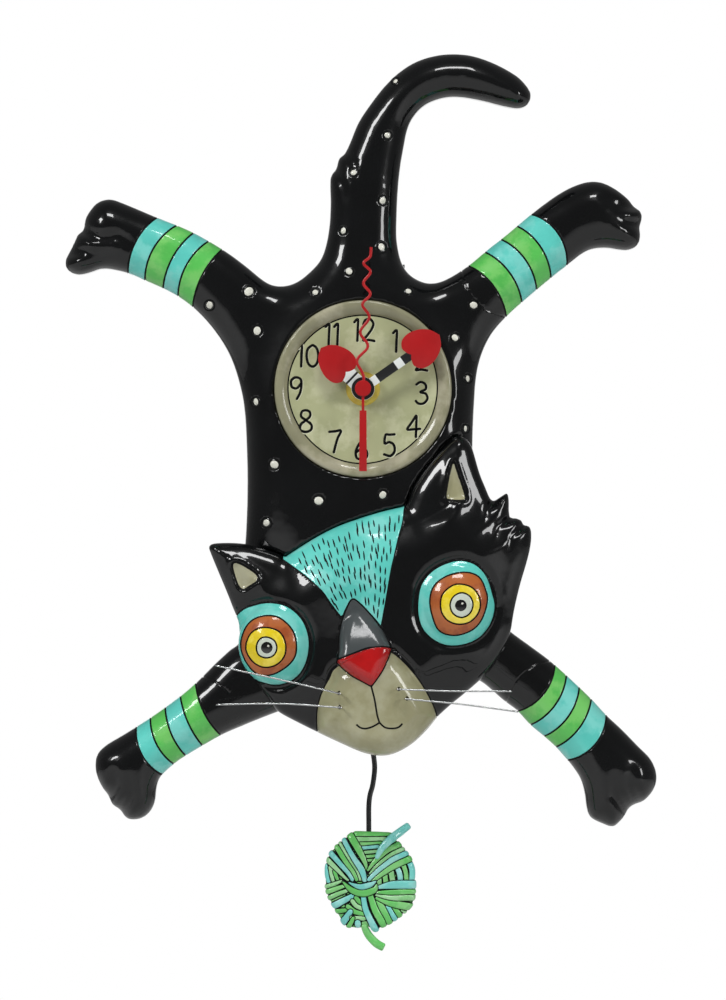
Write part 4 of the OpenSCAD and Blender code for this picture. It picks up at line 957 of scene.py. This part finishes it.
def heart(tip, wide=1.0):
    e = curve([(x, z) for x, z in HEART], 5, closed=False)
    e[:, 0] *= wide
    return np.concatenate([e + (0, tip), (e[1:-1] * (-1, 1))[::-1] + (0, tip)])


def turned(part, angle):
    v = np.asarray(part[0], float).copy()
    a = math.radians(angle)
    x, z = v[:, 0].copy(), v[:, 2].copy()
    v[:, 0] = x * math.cos(a) + z * math.sin(a)
    v[:, 2] = -x * math.sin(a) + z * math.cos(a) + DIAL[1]
    return (v, *part[1:])


def box2(w, z0, z1, back, front, bevel=0.08):
    return plate([(-w / 2, z0), (w / 2, z0), (w / 2, z1), (-w / 2, z1)], back, front, bevel)


def ring(r0, r1, back, front, n=64, bevel=0.12):
    rows = [(r0, back), (r1 - bevel, back), (r1, back + bevel), (r1, front - bevel), (r1 - bevel, front),
            (r0, front)]
    return lathe(rows, n)


B, F = 28.6, 29.2
parts = [(*plate(heart(25.1, 0.93), B, F + 0.05), 0),
         (*box2(6.8, 3.4, 6.1, B, F), 1), (*box2(6.8, 6.1, 7.0, B, F), 2),
         (*box2(6.8, 7.0, 10.5, B, F - 0.05), 1),
         (*ring(2.65, 5.0, B, F), 1)]
v, fc, mi = gather([turned(p, 314) for p in parts])
make("hour_hand_enamel", mm(v), fc, [M_HAND, M_STRIPE_W, M_STRIPE], "hour", index=mi,
     node="hour_hand", sharp=35)
B, F = 31.0, 31.6
parts = [(*plate(heart(40.0), B, F + 0.05), 0), (*ring(1.65, 4.9, B, F), 2)]
for z0, z1, m in ((4.4, 7.6, 1), (7.6, 17.1, 2), (17.1, 20.7, 1), (20.7, 25.6, 2)):
    parts.append((*box2(4.0, z0, z1, B, F), m))
v, fc, mi = gather([turned(p, 55) for p in parts])
make("minute_hand_enamel", mm(v), fc, [M_HAND, M_STRIPE_W, M_STRIPE], "minute", index=mi,
     node="minute_hand", sharp=35)
zig = [(0, -40), (0.5, -34.5), (-3.4, -28), (3, -22), (-2, -16), (3.5, -9.5), (-1, -4), (3.9, 0.3),
       (-0.5, 5),
       (3.9, 9.9), (-0.4, 13.6), (3.3, 16.2), (3.5, 20.4)]
line = np.array([(x, 33.5, z) for x, z in zig], float)
fine = []
for i in range(len(line)):
    a, b = line[max(i - 1, 0)], line[min(i + 1, len(line) - 1)]
    if i in (0, len(line) - 1):
        fine.append(line[i])
        continue
    for t in (0.0, 0.25, 0.5, 0.75, 1.0):
        p = line[i] + (a - line[i]) * 0.32
        q = line[i] + (b - line[i]) * 0.32
        fine.append((1 - t) ** 2 * p + 2 * t * (1 - t) * line[i] + t * t * q)
parts = [(*tube(fine, 0.62, 8, flat=0.5), 0)]
bar = [(*box2(1.2, -9.6, 0, 33.2, 33.8), 0), (*plate([(-1.65, -35.4), (1.65, -35.4), (1.5, -9.4),
                                                      (-1.5, -9.4)], 33.2, 33.8), 0)]
parts += [turned(p, 0) for p in bar]
hub = [(0.65, 32.8), (3.3, 32.8), (3.5, 33.0), (3.5, 34.0), (3.2, 34.3), (1.2, 34.42), (0.02, 34.46),
       (0.02, 34.4), (0.65, 34.4)]
parts.append((*lathe(hub, 56, DIAL[1]), 0))
v, fc, mi = gather(parts)
make("second_hand_wire", mm(v), fc, [M_HAND], "second", node="second_hand", sharp=40)

# ------------------------------------------------------------------ whiskers, rod
M_WIRE = material("whisker_steel", lin("b9bbbb"), rough=0.22, metal=1.0, vary=0.06, vary_scale=300)
M_ROD = material("rod_black", lin("0d0e0f"), rough=0.3, coat=0.5, coat_rough=0.1, vary=0.2, bump=0.00004,
                 bump_scale=400)
WHISKERS = {
    "upper_left": [(-10, 40, -170), (-10, 46.5, -170), (-11.5, 48, -169.7), (-30, 48.2, -165.3),
                   (-63, 48.5, -158)],
    "lower_left": [(-9.7, 40, -176), (-9.7, 46.5, -176), (-11.2, 48, -175.9), (-35, 49.5, -174.3),
                   (-62.5, 50, -174.7)],
    "upper_right": [(15, 40, -168.2), (15, 46.5, -168.2), (16.5, 48, -168.3), (38, 49, -169),
                    (63.3, 50, -169)],
    "lower_right": [(18.5, 40, -172.3), (18.5, 46.5, -172.3), (20, 48, -172.5), (42, 48.5, -174.6),
                    (66, 48.5, -177.8)]}
sockets = []
for name, pts in WHISKERS.items():
    path = curve([(x, d, z) for x, d, z in pts], 6, closed=False)
    v, fc = tube(path, 0.36, 10, ref=(0, 0, 1))
    make("whisker_wire_" + name, mm(v), fc, [M_WIRE], "clock", node="whisker_" + name)
    x, z = pts[0][0], pts[0][2]
    d = head_cast.at(x, z)[0]
    v = [(x + r * math.cos(a * math.pi / 10), d + up, z + r * math.sin(a * math.pi / 10))
         for r, up in ((1.0, -0.1), (0.75, 0.07), (0.4, 0.05)) for a in range(20)]
    sockets.append((v, loft(3, 20)))
v, fc, _ = gather(sockets)
make("whisker_sockets", mm(v), fc, [M_LINE], "clock", sheet=True)
path = curve([(x, 8, z) for x, z in ((0, -120.5), (0, -150), (1.5, -175), (3.5, -192), (4.7, -199),
                                     (5, -204),
                                    (4.2, -210.5), (3, -215), (2.5, -220), (2.5, -228), (2.5, -235))], 5,
                                    closed=False)
loop = np.array([(2.4 * math.sin(a), 8, -118.05 - 2.4 * math.cos(a)) for a in np.linspace(0, 2 * math.pi,
                                                                                          33)])
v, fc, _ = gather([tube(path, 1.12, 14), tube(loop, 1.1, 14)])
make("rod_wire", mm(v), fc, [M_ROD], "pendulum", node="pendulum_rod")

# ------------------------------------------------------------------ yarn ball
YARN = dict(PAINT, bump=0.00015, bump_scale=260)
M_YT = material("yarn_turquoise", lin("78d2ca"), vary=0.1, spots=lin("9be0d8"), spot_scale=110, **YARN)
M_YG = material("yarn_green", lin("68c566"), vary=0.12, spots=lin("86d280"), spot_scale=110, **YARN)
M_YL = material("yarn_light_green", lin("a2d9a0"), vary=0.1, spots=lin("88cd86"), spot_scale=110, **YARN)
KNOT = np.array([2.8, -251.8])        # the strands' own origin, in the middle of the knot
ROUND = KNOT + curve([(-6.7, 21.4), (0.5, 21.2), (5.3, 21), (10, 20.6), (12.2, 17.7), (14.8, 14.4),
                      (17.2, 11.5), (18.8, 8.6),
                      (19.9, 4.8), (20.2, -1), (20, -5.7), (19.3, -9.6), (17.2, -12.6), (13.4, -15.8),
                      (10, -18.2),
                      (7.2, -19.7), (4.8, -20.8), (2.7, -22.5), (0.7, -21.2), (-2, -20), (-4, -21),
                      (-7.7, -20.7),
                      (-11, -19.6), (-13.2, -16.3), (-15.3, -12.2), (-17.2, -9.4), (-18.7, -5.7),
                      (-19.4, -1.9),
                      (-19.5, 2.9), (-19.2, 6.4), (-18.4, 9.6), (-17.6, 12), (-15.4, 14.6), (-12, 17.8),
                      (-9.2, 19.9)], 3)
T_, G_, L_ = 1, 2, 3
# each strand: colour, its line, its width along the line, and which ends run out over the rim
STRANDS = [
    (G_, [(-6.5, 20.3), (1, 20.2), (9, 20.2)], (2.4, 2.4, 2.0), "se"),
    (L_, [(-5.4, 17.9), (0, 17.8), (6.6, 18)], (2.2, 2.3, 2.0), ""),
    (G_, [(-4.2, 16), (0, 16), (5, 16.4)], (1.5, 1.7, 1.5), ""),
    (T_, [(-3.6, 14.1), (3.6, 14.8)], (1.6, 1.7), ""),
    (L_, [(-2.8, 12.2), (3.2, 12.8)], (1.5, 1.6), ""),
    (G_, [(-2.2, 10.4), (2.6, 10.9)], (1.5, 1.4), ""),
    (G_, [(-1.6, 8.7), (1.8, 9.1)], (1.4, 1.2), ""),
    (T_, [(-18.7, 6.8), (-18.2, 2), (-17.2, -1.4)], (1.7, 1.7, 1.5), "s"),
    (L_, [(-16.8, 5.8), (-16.2, 2), (-15.3, -0.9)], (1.8, 1.7, 1.4), ""),
    (G_, [(-15, 4.2), (-14.1, 1.4), (-13.1, -0.4)], (1.7, 1.6, 1.2), ""),
    (G_, [(-8.2, 19.4), (-4.6, 13.4), (-1.9, 7.9), (-1.2, 4.6)], (3.0, 2.8, 1.9, 0.8), "s"),
    (T_, [(-10.8, 17.2), (-7.2, 10.4), (-3.5, 5), (-2.1, 0.5)], (2.1, 2.4, 2.7, 2.2), "s"),
    (L_, [(-12.4, 15.6), (-8.7, 9), (-5.4, 3.8), (-4, 0.5)], (1.5, 1.5, 1.4, 1.3), "s"),
    (G_, [(-14, 14.4), (-10.3, 8.4), (-6.9, 3.6), (-5.5, 0.5)], (2.2, 2.1, 1.8, 1.5), "s"),
    (T_, [(-16.9, 12.2), (-12.7, 7.4), (-9.2, 3.5), (-7.3, 0.5)], (2.4, 2.2, 1.9, 1.6), "s"),
    (L_, [(-18.4, 9.4), (-14.4, 5.4), (-11, 1.9), (-9.2, 0.3)], (2.3, 2.0, 1.5, 1.1), "s"),
    (L_, [(-19, -2.6), (-15.3, -1.4), (-12, 0)], (1.9, 1.9, 1.2), "s"),
    (G_, [(-18.8, -5), (-14.8, -3.5), (-11, -2.2)], (2.2, 2.1, 1.6), "s"),
    (L_, [(-17.9, -7.6), (-13.9, -5.7), (-9.8, -4.2)], (2.1, 2.0, 1.7), "s"),
    (T_, [(-15.8, -11), (-11, -8.4), (-6.4, -6)], (3.0, 2.6, 2.1), "s"),
    (G_, [(-14.4, -13.2), (-10.4, -12.6)], (2.2, 1.8), "s"),
    (G_, [(-5.8, -7.2), (-4.4, -8.8), (-2.6, -9.8)], (1.9, 2.0, 2.0), ""),
    (L_, [(-7.4, -8.6), (-5.7, -10.7), (-2.8, -12)], (1.9, 2.0, 2.0), ""),
    (G_, [(-9.3, -11), (-6.4, -13.2), (-2.6, -14.3)], (2.1, 2.1, 2.0), ""),
    (T_, [(-12, -18.6), (-10, -15.9), (-8.2, -13.2)], (3.0, 2.8, 2.2), "s"),
    (L_, [(-7.6, -15.9), (-2.4, -16.2)], (2.0, 1.9), ""),
    (G_, [(-9.4, -20.4), (-7.9, -17.9), (-7, -16)], (2.2, 2.0, 1.6), "s"),
    (G_, [(3.2, -8.6), (6.4, -13), (9, -18.4)], (2.1, 3.0, 3.0), "e"),
    (T_, [(7.9, -10.6), (10, -14.4), (11.7, -17.6)], (2.0, 2.4, 2.5), "e"),
    (G_, [(10.6, -11), (13.5, -15.6)], (2.3, 2.4), "e"),
    (L_, [(13.4, -11.4), (16.2, -14)], (2.0, 2.2), "e"),
    (G_, [(0.4, -6.4), (2.4, -12.4), (4.9, -17), (6.4, -20)], (2.4, 2.9, 3.0, 2.6), "e"),
    (T_, [(-2.7, -6.4), (-1.7, -12), (0.4, -16.8), (2.7, -21.4)], (2.2, 2.5, 2.7, 3.0), "e"),
    (L_, [(4, 2), (4.4, -2)], (2.2, 2.0), ""),
    (G_, [(6.5, 3), (7.2, -1.2)], (2.3, 2.2), ""),
    (L_, [(9.2, 4.4), (10.1, -0.6)], (2.4, 2.3), ""),
    (T_, [(11.8, 5.9), (13, 2.9), (13.3, -0.2)], (2.2, 2.4, 2.2), ""),
    (G_, [(14.4, 7.2), (15.6, 3.8), (15.9, 0)], (2.1, 2.0, 2.0), ""),
    (T_, [(16.9, 8.6), (18.3, 4.8), (18.2, 0)], (2.3, 2.5, 2.3), ""),
    (G_, [(3.2, -7.4), (10, -9.8), (18.4, -11.4)], (1.6, 3.0, 3.2), "e"),
    (L_, [(2.9, -6), (10, -7), (19.4, -7.2)], (1.2, 2.8, 2.6), "e"),
    (G_, [(3.2, -4.9), (9, -4.9), (19.6, -4.6)], (1.2, 2.2, 2.2), "e"),
    (T_, [(3.6, -2.8), (10, -1.7), (19.8, -1.6)], (1.5, 3.3, 3.5), "e"),
    (G_, [(17.9, 9.7), (11, 6.6), (5.2, 3.2), (1.4, 0.2)], (2.6, 2.6, 2.5, 2.0), "s"),
    (T_, [(16.5, 12.1), (10, 9.2), (3.8, 4.8), (-0.3, 0.6)], (2.3, 2.4, 2.3, 1.7), "s"),
    (L_, [(15, 14), (9, 11.2), (3.6, 7), (0, 3.2)], (2.0, 1.7, 1.5, 0.9), "s"),
    (G_, [(13.4, 16), (7.7, 13.2), (2.4, 8.6), (-0.6, 4.7)], (2.7, 2.3, 2.0, 1.2), "s"),
    (G_, [(-11.4, -0.4), (-7.6, -4), (-2.8, -5.3), (2, -3.9), (3, -1.6)], (1.0, 2.5, 2.9, 2.6, 1.0), ""),
    (T_, [(-8.8, -0.7), (-4.3, -2.5), (0, -1.7), (2.6, -0.2)], (0.9, 2.3, 2.4, 1.0), ""),
    (T_, [(-5.1, -18.0), (-5, -18.9)], (2.6, 2.6), "")]


def strand_outline(pts, widths, rim):
    pts = [np.array(p, float) for p in pts]
    widths = list(widths)
    if "s" in rim:
        d = pts[0] - pts[1]
        pts.insert(0, pts[0] + d / np.linalg.norm(d) * 4)
        widths.insert(0, widths[0])
    if "e" in rim:
        d = pts[-1] - pts[-2]
        pts.append(pts[-1] + d / np.linalg.norm(d) * 4)
        widths.append(widths[-1])
    line = curve([(p[0], w, p[1]) for p, w in zip(pts, widths)], 5, closed=False)
    xz, w = line[:, [0, 2]], np.maximum(line[:, 1] * 1.1, 0.4) / 2
    t = np.gradient(xz, axis=0)
    t /= np.linalg.norm(t, axis=1)[:, None]
    side = np.stack([-t[:, 1], t[:, 0]], 1)
    caps = []
    for end, sign in ((-1, 1), (0, -1)):
        caps.append([xz[end] + sign * (side[end] * math.cos(a) + t[end] * math.sin(a)) * w[end]
                     for a in (0.6, 1.1, 1.57, 2.04, 2.54)])
    return KNOT + np.concatenate([xz + side * w[:, None], caps[0], (xz - side * w[:, None])[::-1], caps[1]])


h = 0.6
yx, yz, yd = np.arange(-21, 27, h), np.arange(-278, -226, h), np.arange(1, 15.1, h)
YX, YZ = np.meshgrid(yx, yz, indexing="ij")
round_d = blur(inside(ROUND, YX, YZ), 1) - 0.5
half = 0.8 + 2.5 * np.sqrt(np.clip(1 - ((YX - 3) / 22) ** 2 - ((YZ + 252) / 24) ** 2, 0, 1))
f = smax(np.abs(yd[None, :, None] - 8) - half[:, None, :], -round_d[:, None, :], 2.0)
yv, yt = surface(f, (yx[0], yd[0], yz[0]), h)
yv = relax(yv, yt, 3)
yarn = Paint(yv, yt)
outlines = [strand_outline(*row[1:]) for row in STRANDS]
for (colour, *_), poly in zip(STRANDS, outlines):
    yarn.stroke(lambda x, z, q=poly: inside(q, x, z), colour, 0.2, box=(poly.min(0) - 1, poly.max(0) + 1))
gap = np.max([inside(q, yarn.v[:, 0], yarn.v[:, 2]) for q in outlines], axis=0)
gap = yarn.cut(gap, -0.32, np.ones(len(yarn.t), bool))         # wide gaps show the next layer of yarn
yarn.label[(gap[yarn.t].mean(1) < -0.32) & (yarn.label == 0)] = 2
away = np.zeros(len(yarn.v))
for poly in outlines:
    d = inside(poly, yarn.v[:, 0], yarn.v[:, 2])
    away = np.where(d > 0, d, np.minimum(away, -d))
high = 0.75 * np.sqrt(1 - (1 - np.clip(away / 1.1, 0, 1)) ** 2) - 0.15
yv = yarn.v + normals(yarn.v, yarn.t) * high[:, None]
make("yarn_ball_wound", mm(yv), yarn.t[:, ::-1], [M_LINE, M_YT, M_YG, M_YL], "pendulum",
     index=yarn.label, node="yarn_ball")
parts = []
for pts, widths, colour in (
        ([(2.9, 9.6, 3.6), (5.4, 14.2, 3.9), (9.6, 18.4, 3.1), (13.4, 21.2, 0.9), (17.2, 24)],
         (1.7, 2.9, 3.7, 3.6, 3.0), 0),
        ([(-2.6, -18.8, 1.6), (-1.4, -21.6, 0.6), (0.2, -24.2, 0), (3.2, -27.2, 0), (6.3, -28.9)],
         (2.6, 3.3, 3.5, 3.6, 3.5), 1)):
    line = curve([(KNOT[0] + q[0], 8 + (q[2] if len(q) > 2 else 0), KNOT[1] + q[1]) for q in pts], 6,
                 closed=False)
    w = np.interp(np.linspace(0, 1, len(line)), np.linspace(0, 1, len(widths)), widths) / 2
    w[-1] *= 0.72
    w[0] *= 0.6
    v, fc = tube(line, w, 16, flat=0.75)
    parts.append((v, fc, colour))
v, fc, mi = gather(parts)
make("yarn_ends", mm(v), fc, [M_YT, M_YG], "pendulum", index=mi)

# ------------------------------------------------------------------ CAD pieces that keep their shape
FIN = {
    "plastic": material("movement_plastic", lin("1b1c1e"), rough=0.5, vary=0.1, bump=0.00006,
                        bump_scale=900),
    "brass": material("fitting_brass", lin("ffdf6e"), rough=0.22, metal=0.6, vary=0.12, vary_scale=150,
                      bump=0.00002, bump_scale=500),
    "zinc": material("zinc_sheet", lin("a9acae"), rough=0.36, metal=1.0, vary=0.1, spots=lin("8f9295"),
                     spot_scale=120),
    "steel": material("arbor_steel", lin("b4b6b8"), rough=0.25, metal=1.0, vary=0.06),
    "rubber": material("gasket_rubber", lin("161617"), rough=0.8, vary=0.1, bump=0.00004),
    "gear": material("gear_acetal", lin("dcd8ca"), rough=0.45, vary=0.04),
    "copper": material("coil_copper", lin("a85a2a"), rough=0.35, metal=0.8, vary=0.15, vary_scale=900),
    "board": material("board_mask", lin("1f6a3b"), rough=0.4, coat=0.4, vary=0.1, vary_scale=200),
    "iron": material("stator_iron", lin("77797b"), rough=0.45, metal=1.0, vary=0.12),
    "magnet": material("magnet_plated", lin("6a6c70"), rough=0.3, metal=1.0, vary=0.06),
    "cell": material("battery_sleeve", lin("f0f0f0"), rough=0.3, coat=0.5, vary=0.06)}


def sleeve_bands(mat):
    """Bands along a battery: black for two thirds, copper above, bare steel at the cap."""
    nt = mat.node_tree
    sleeve = nt.nodes.new("ShaderNodeValToRGB")
    sleeve.color_ramp.interpolation = "CONSTANT"
    for place, colour in ((0.02, "1c1d1f"), (0.64, "c07a35"), (0.955, "b9babb")):
        step = sleeve.color_ramp.elements.new(place)
        step.color = (*lin(colour), 1)
    sleeve.color_ramp.elements[0].color = (*lin("b9babb"), 1)
    sleeve.color_ramp.elements.remove(sleeve.color_ramp.elements[-1])
    where = nt.nodes.new("ShaderNodeTexCoord")
    split = nt.nodes.new("ShaderNodeSeparateXYZ")
    nt.links.new(where.outputs["Generated"], split.inputs["Vector"])
    nt.links.new(split.outputs["X"], sleeve.inputs["Fac"])
    blend = nt.nodes.new("ShaderNodeMix")
    blend.data_type, blend.blend_type = "RGBA", "MULTIPLY"
    blend.inputs["Factor"].default_value = 1.0
    pb = nt.nodes["Principled BSDF"]
    nt.links.new(pb.inputs["Base Color"].links[0].from_socket, blend.inputs[6])
    nt.links.new(sleeve.outputs["Color"], blend.inputs[7])
    nt.links.new(blend.outputs[2], pb.inputs["Base Color"])


sleeve_bands(FIN["cell"])
KEEP = {"plastic": ["movement_front_case", "movement_back_case", "set_knob"],
        "brass": ["threaded_bush", "brass_washer", "hex_nut", "center_wheel"],
        "zinc": ["hanger_plate", "hanger_screws", "contact_positive", "contact_negative"],
        "steel": ["rotor_arbor", "intermediate_arbor", "second_arbor", "third_arbor", "motion_arbor",
                  "pendulum_pin", "quartz_crystal"],
        "rubber": ["rubber_gasket"], "copper": ["motor_coil", "pendulum_coil"], "board": ["circuit_board"],
        "iron": ["motor_stator"],
        "gear": ["rotor_pinion", "intermediate_wheel", "second_wheel", "third_wheel", "cannon_pinion",
                 "motion_wheel", "hour_wheel", "knob_gear", "pendulum_lever"],
        "magnet": ["rotor_magnet", "lever_magnet"], "cell": ["battery"]}
for finish, names in KEEP.items():
    for name in names:
        assign(name, FIN[finish])
for name, width in (("brass_washer", 0.15), ("hex_nut", 0.3), ("movement_back_case", 0.5),
                    ("hanger_plate", 0.15)):
    bevel = NODES[name].modifiers.new("soft_edges", "BEVEL")
    bevel.width = width / 1000
    bevel.segments = 2
    bevel.limit_method = "ANGLE"
    bevel.angle_limit = math.radians(40)

# ------------------------------------------------------------------ stage, light, camera
M_FLOOR = material("floor_pale", (0.86, 0.86, 0.86), rough=0.8, vary=0.01)
me = bpy.data.meshes.new("floor")
me.from_pydata([(-2, -2.5, -0.45), (2, -2.5, -0.45), (2, 1.0, -0.45), (-2, 1.0, -0.45)], [], [(0, 1, 2, 3)])
me.materials.append(M_FLOOR)
floor = bpy.data.objects.new("floor", me)
SCENE.collection.objects.link(floor)

# white straight behind the wall side, dim grey everywhere else, so the black glaze stays black
world = bpy.data.worlds.new("studio")
SCENE.world = world
world.use_nodes = True
wn = world.node_tree
bg = wn.nodes["Background"]
wt = wn.nodes.new("ShaderNodeTexCoord")
ws = wn.nodes.new("ShaderNodeSeparateXYZ")
wr = wn.nodes.new("ShaderNodeMapRange")
wr.interpolation_type = "SMOOTHSTEP"
wr.inputs["From Min"].default_value, wr.inputs["From Max"].default_value = 0.925, 0.965
wr.inputs["To Min"].default_value, wr.inputs["To Max"].default_value = 0.15, 1.0
wn.links.new(wt.outputs["Generated"], ws.inputs["Vector"])
wn.links.new(ws.outputs["Y"], wr.inputs["Value"])
wn.links.new(wr.outputs["Result"], bg.inputs["Strength"])
bg.inputs["Color"].default_value = (1, 1, 1, 1)
SCENE.view_settings.view_transform = "Standard"     # the photograph is a cut-out on pure white


def lamp(name, at, aim, size, power):
    li = bpy.data.lights.new(name, "AREA")
    li.shape, li.size, li.size_y, li.energy = "RECTANGLE", size[0], size[1], power
    o = bpy.data.objects.new(name, li)
    o.location = at
    o.rotation_mode = "QUATERNION"
    o.rotation_quaternion = (Vector(aim) - Vector(at)).to_track_quat("-Z", "Y")
    SCENE.collection.objects.link(o)


C = (0, 0, -0.088)
lamp("softbox_left", (-1.3, -1.0, 0.9), C, (0.45, 0.6), 18)
lamp("softbox_right", (1.4, -0.9, 0.3), C, (0.4, 0.6), 9.5)
lamp("softbox_top", (0.1, -0.9, 1.5), C, (0.7, 0.3), 12.5)
lamp("softbox_low", (0.5, -1.0, -1.2), C, (0.6, 0.4), 4)

cam = bpy.data.cameras.new("camera")
cam_o = bpy.data.objects.new("camera", cam)
SCENE.collection.objects.link(cam_o)
SCENE.camera = cam_o
cam.sensor_fit = "AUTO"
cam.sensor_width = 36
dist = 3.0
target = Vector((0.0, -0.016, -0.0877))
cam_o.location = target + Vector((0, -dist, 0))
cam_o.rotation_mode = "QUATERNION"
cam_o.rotation_quaternion = (target - cam_o.location).to_track_quat("-Z", "Y")
cam.lens = 36 * dist / 0.430
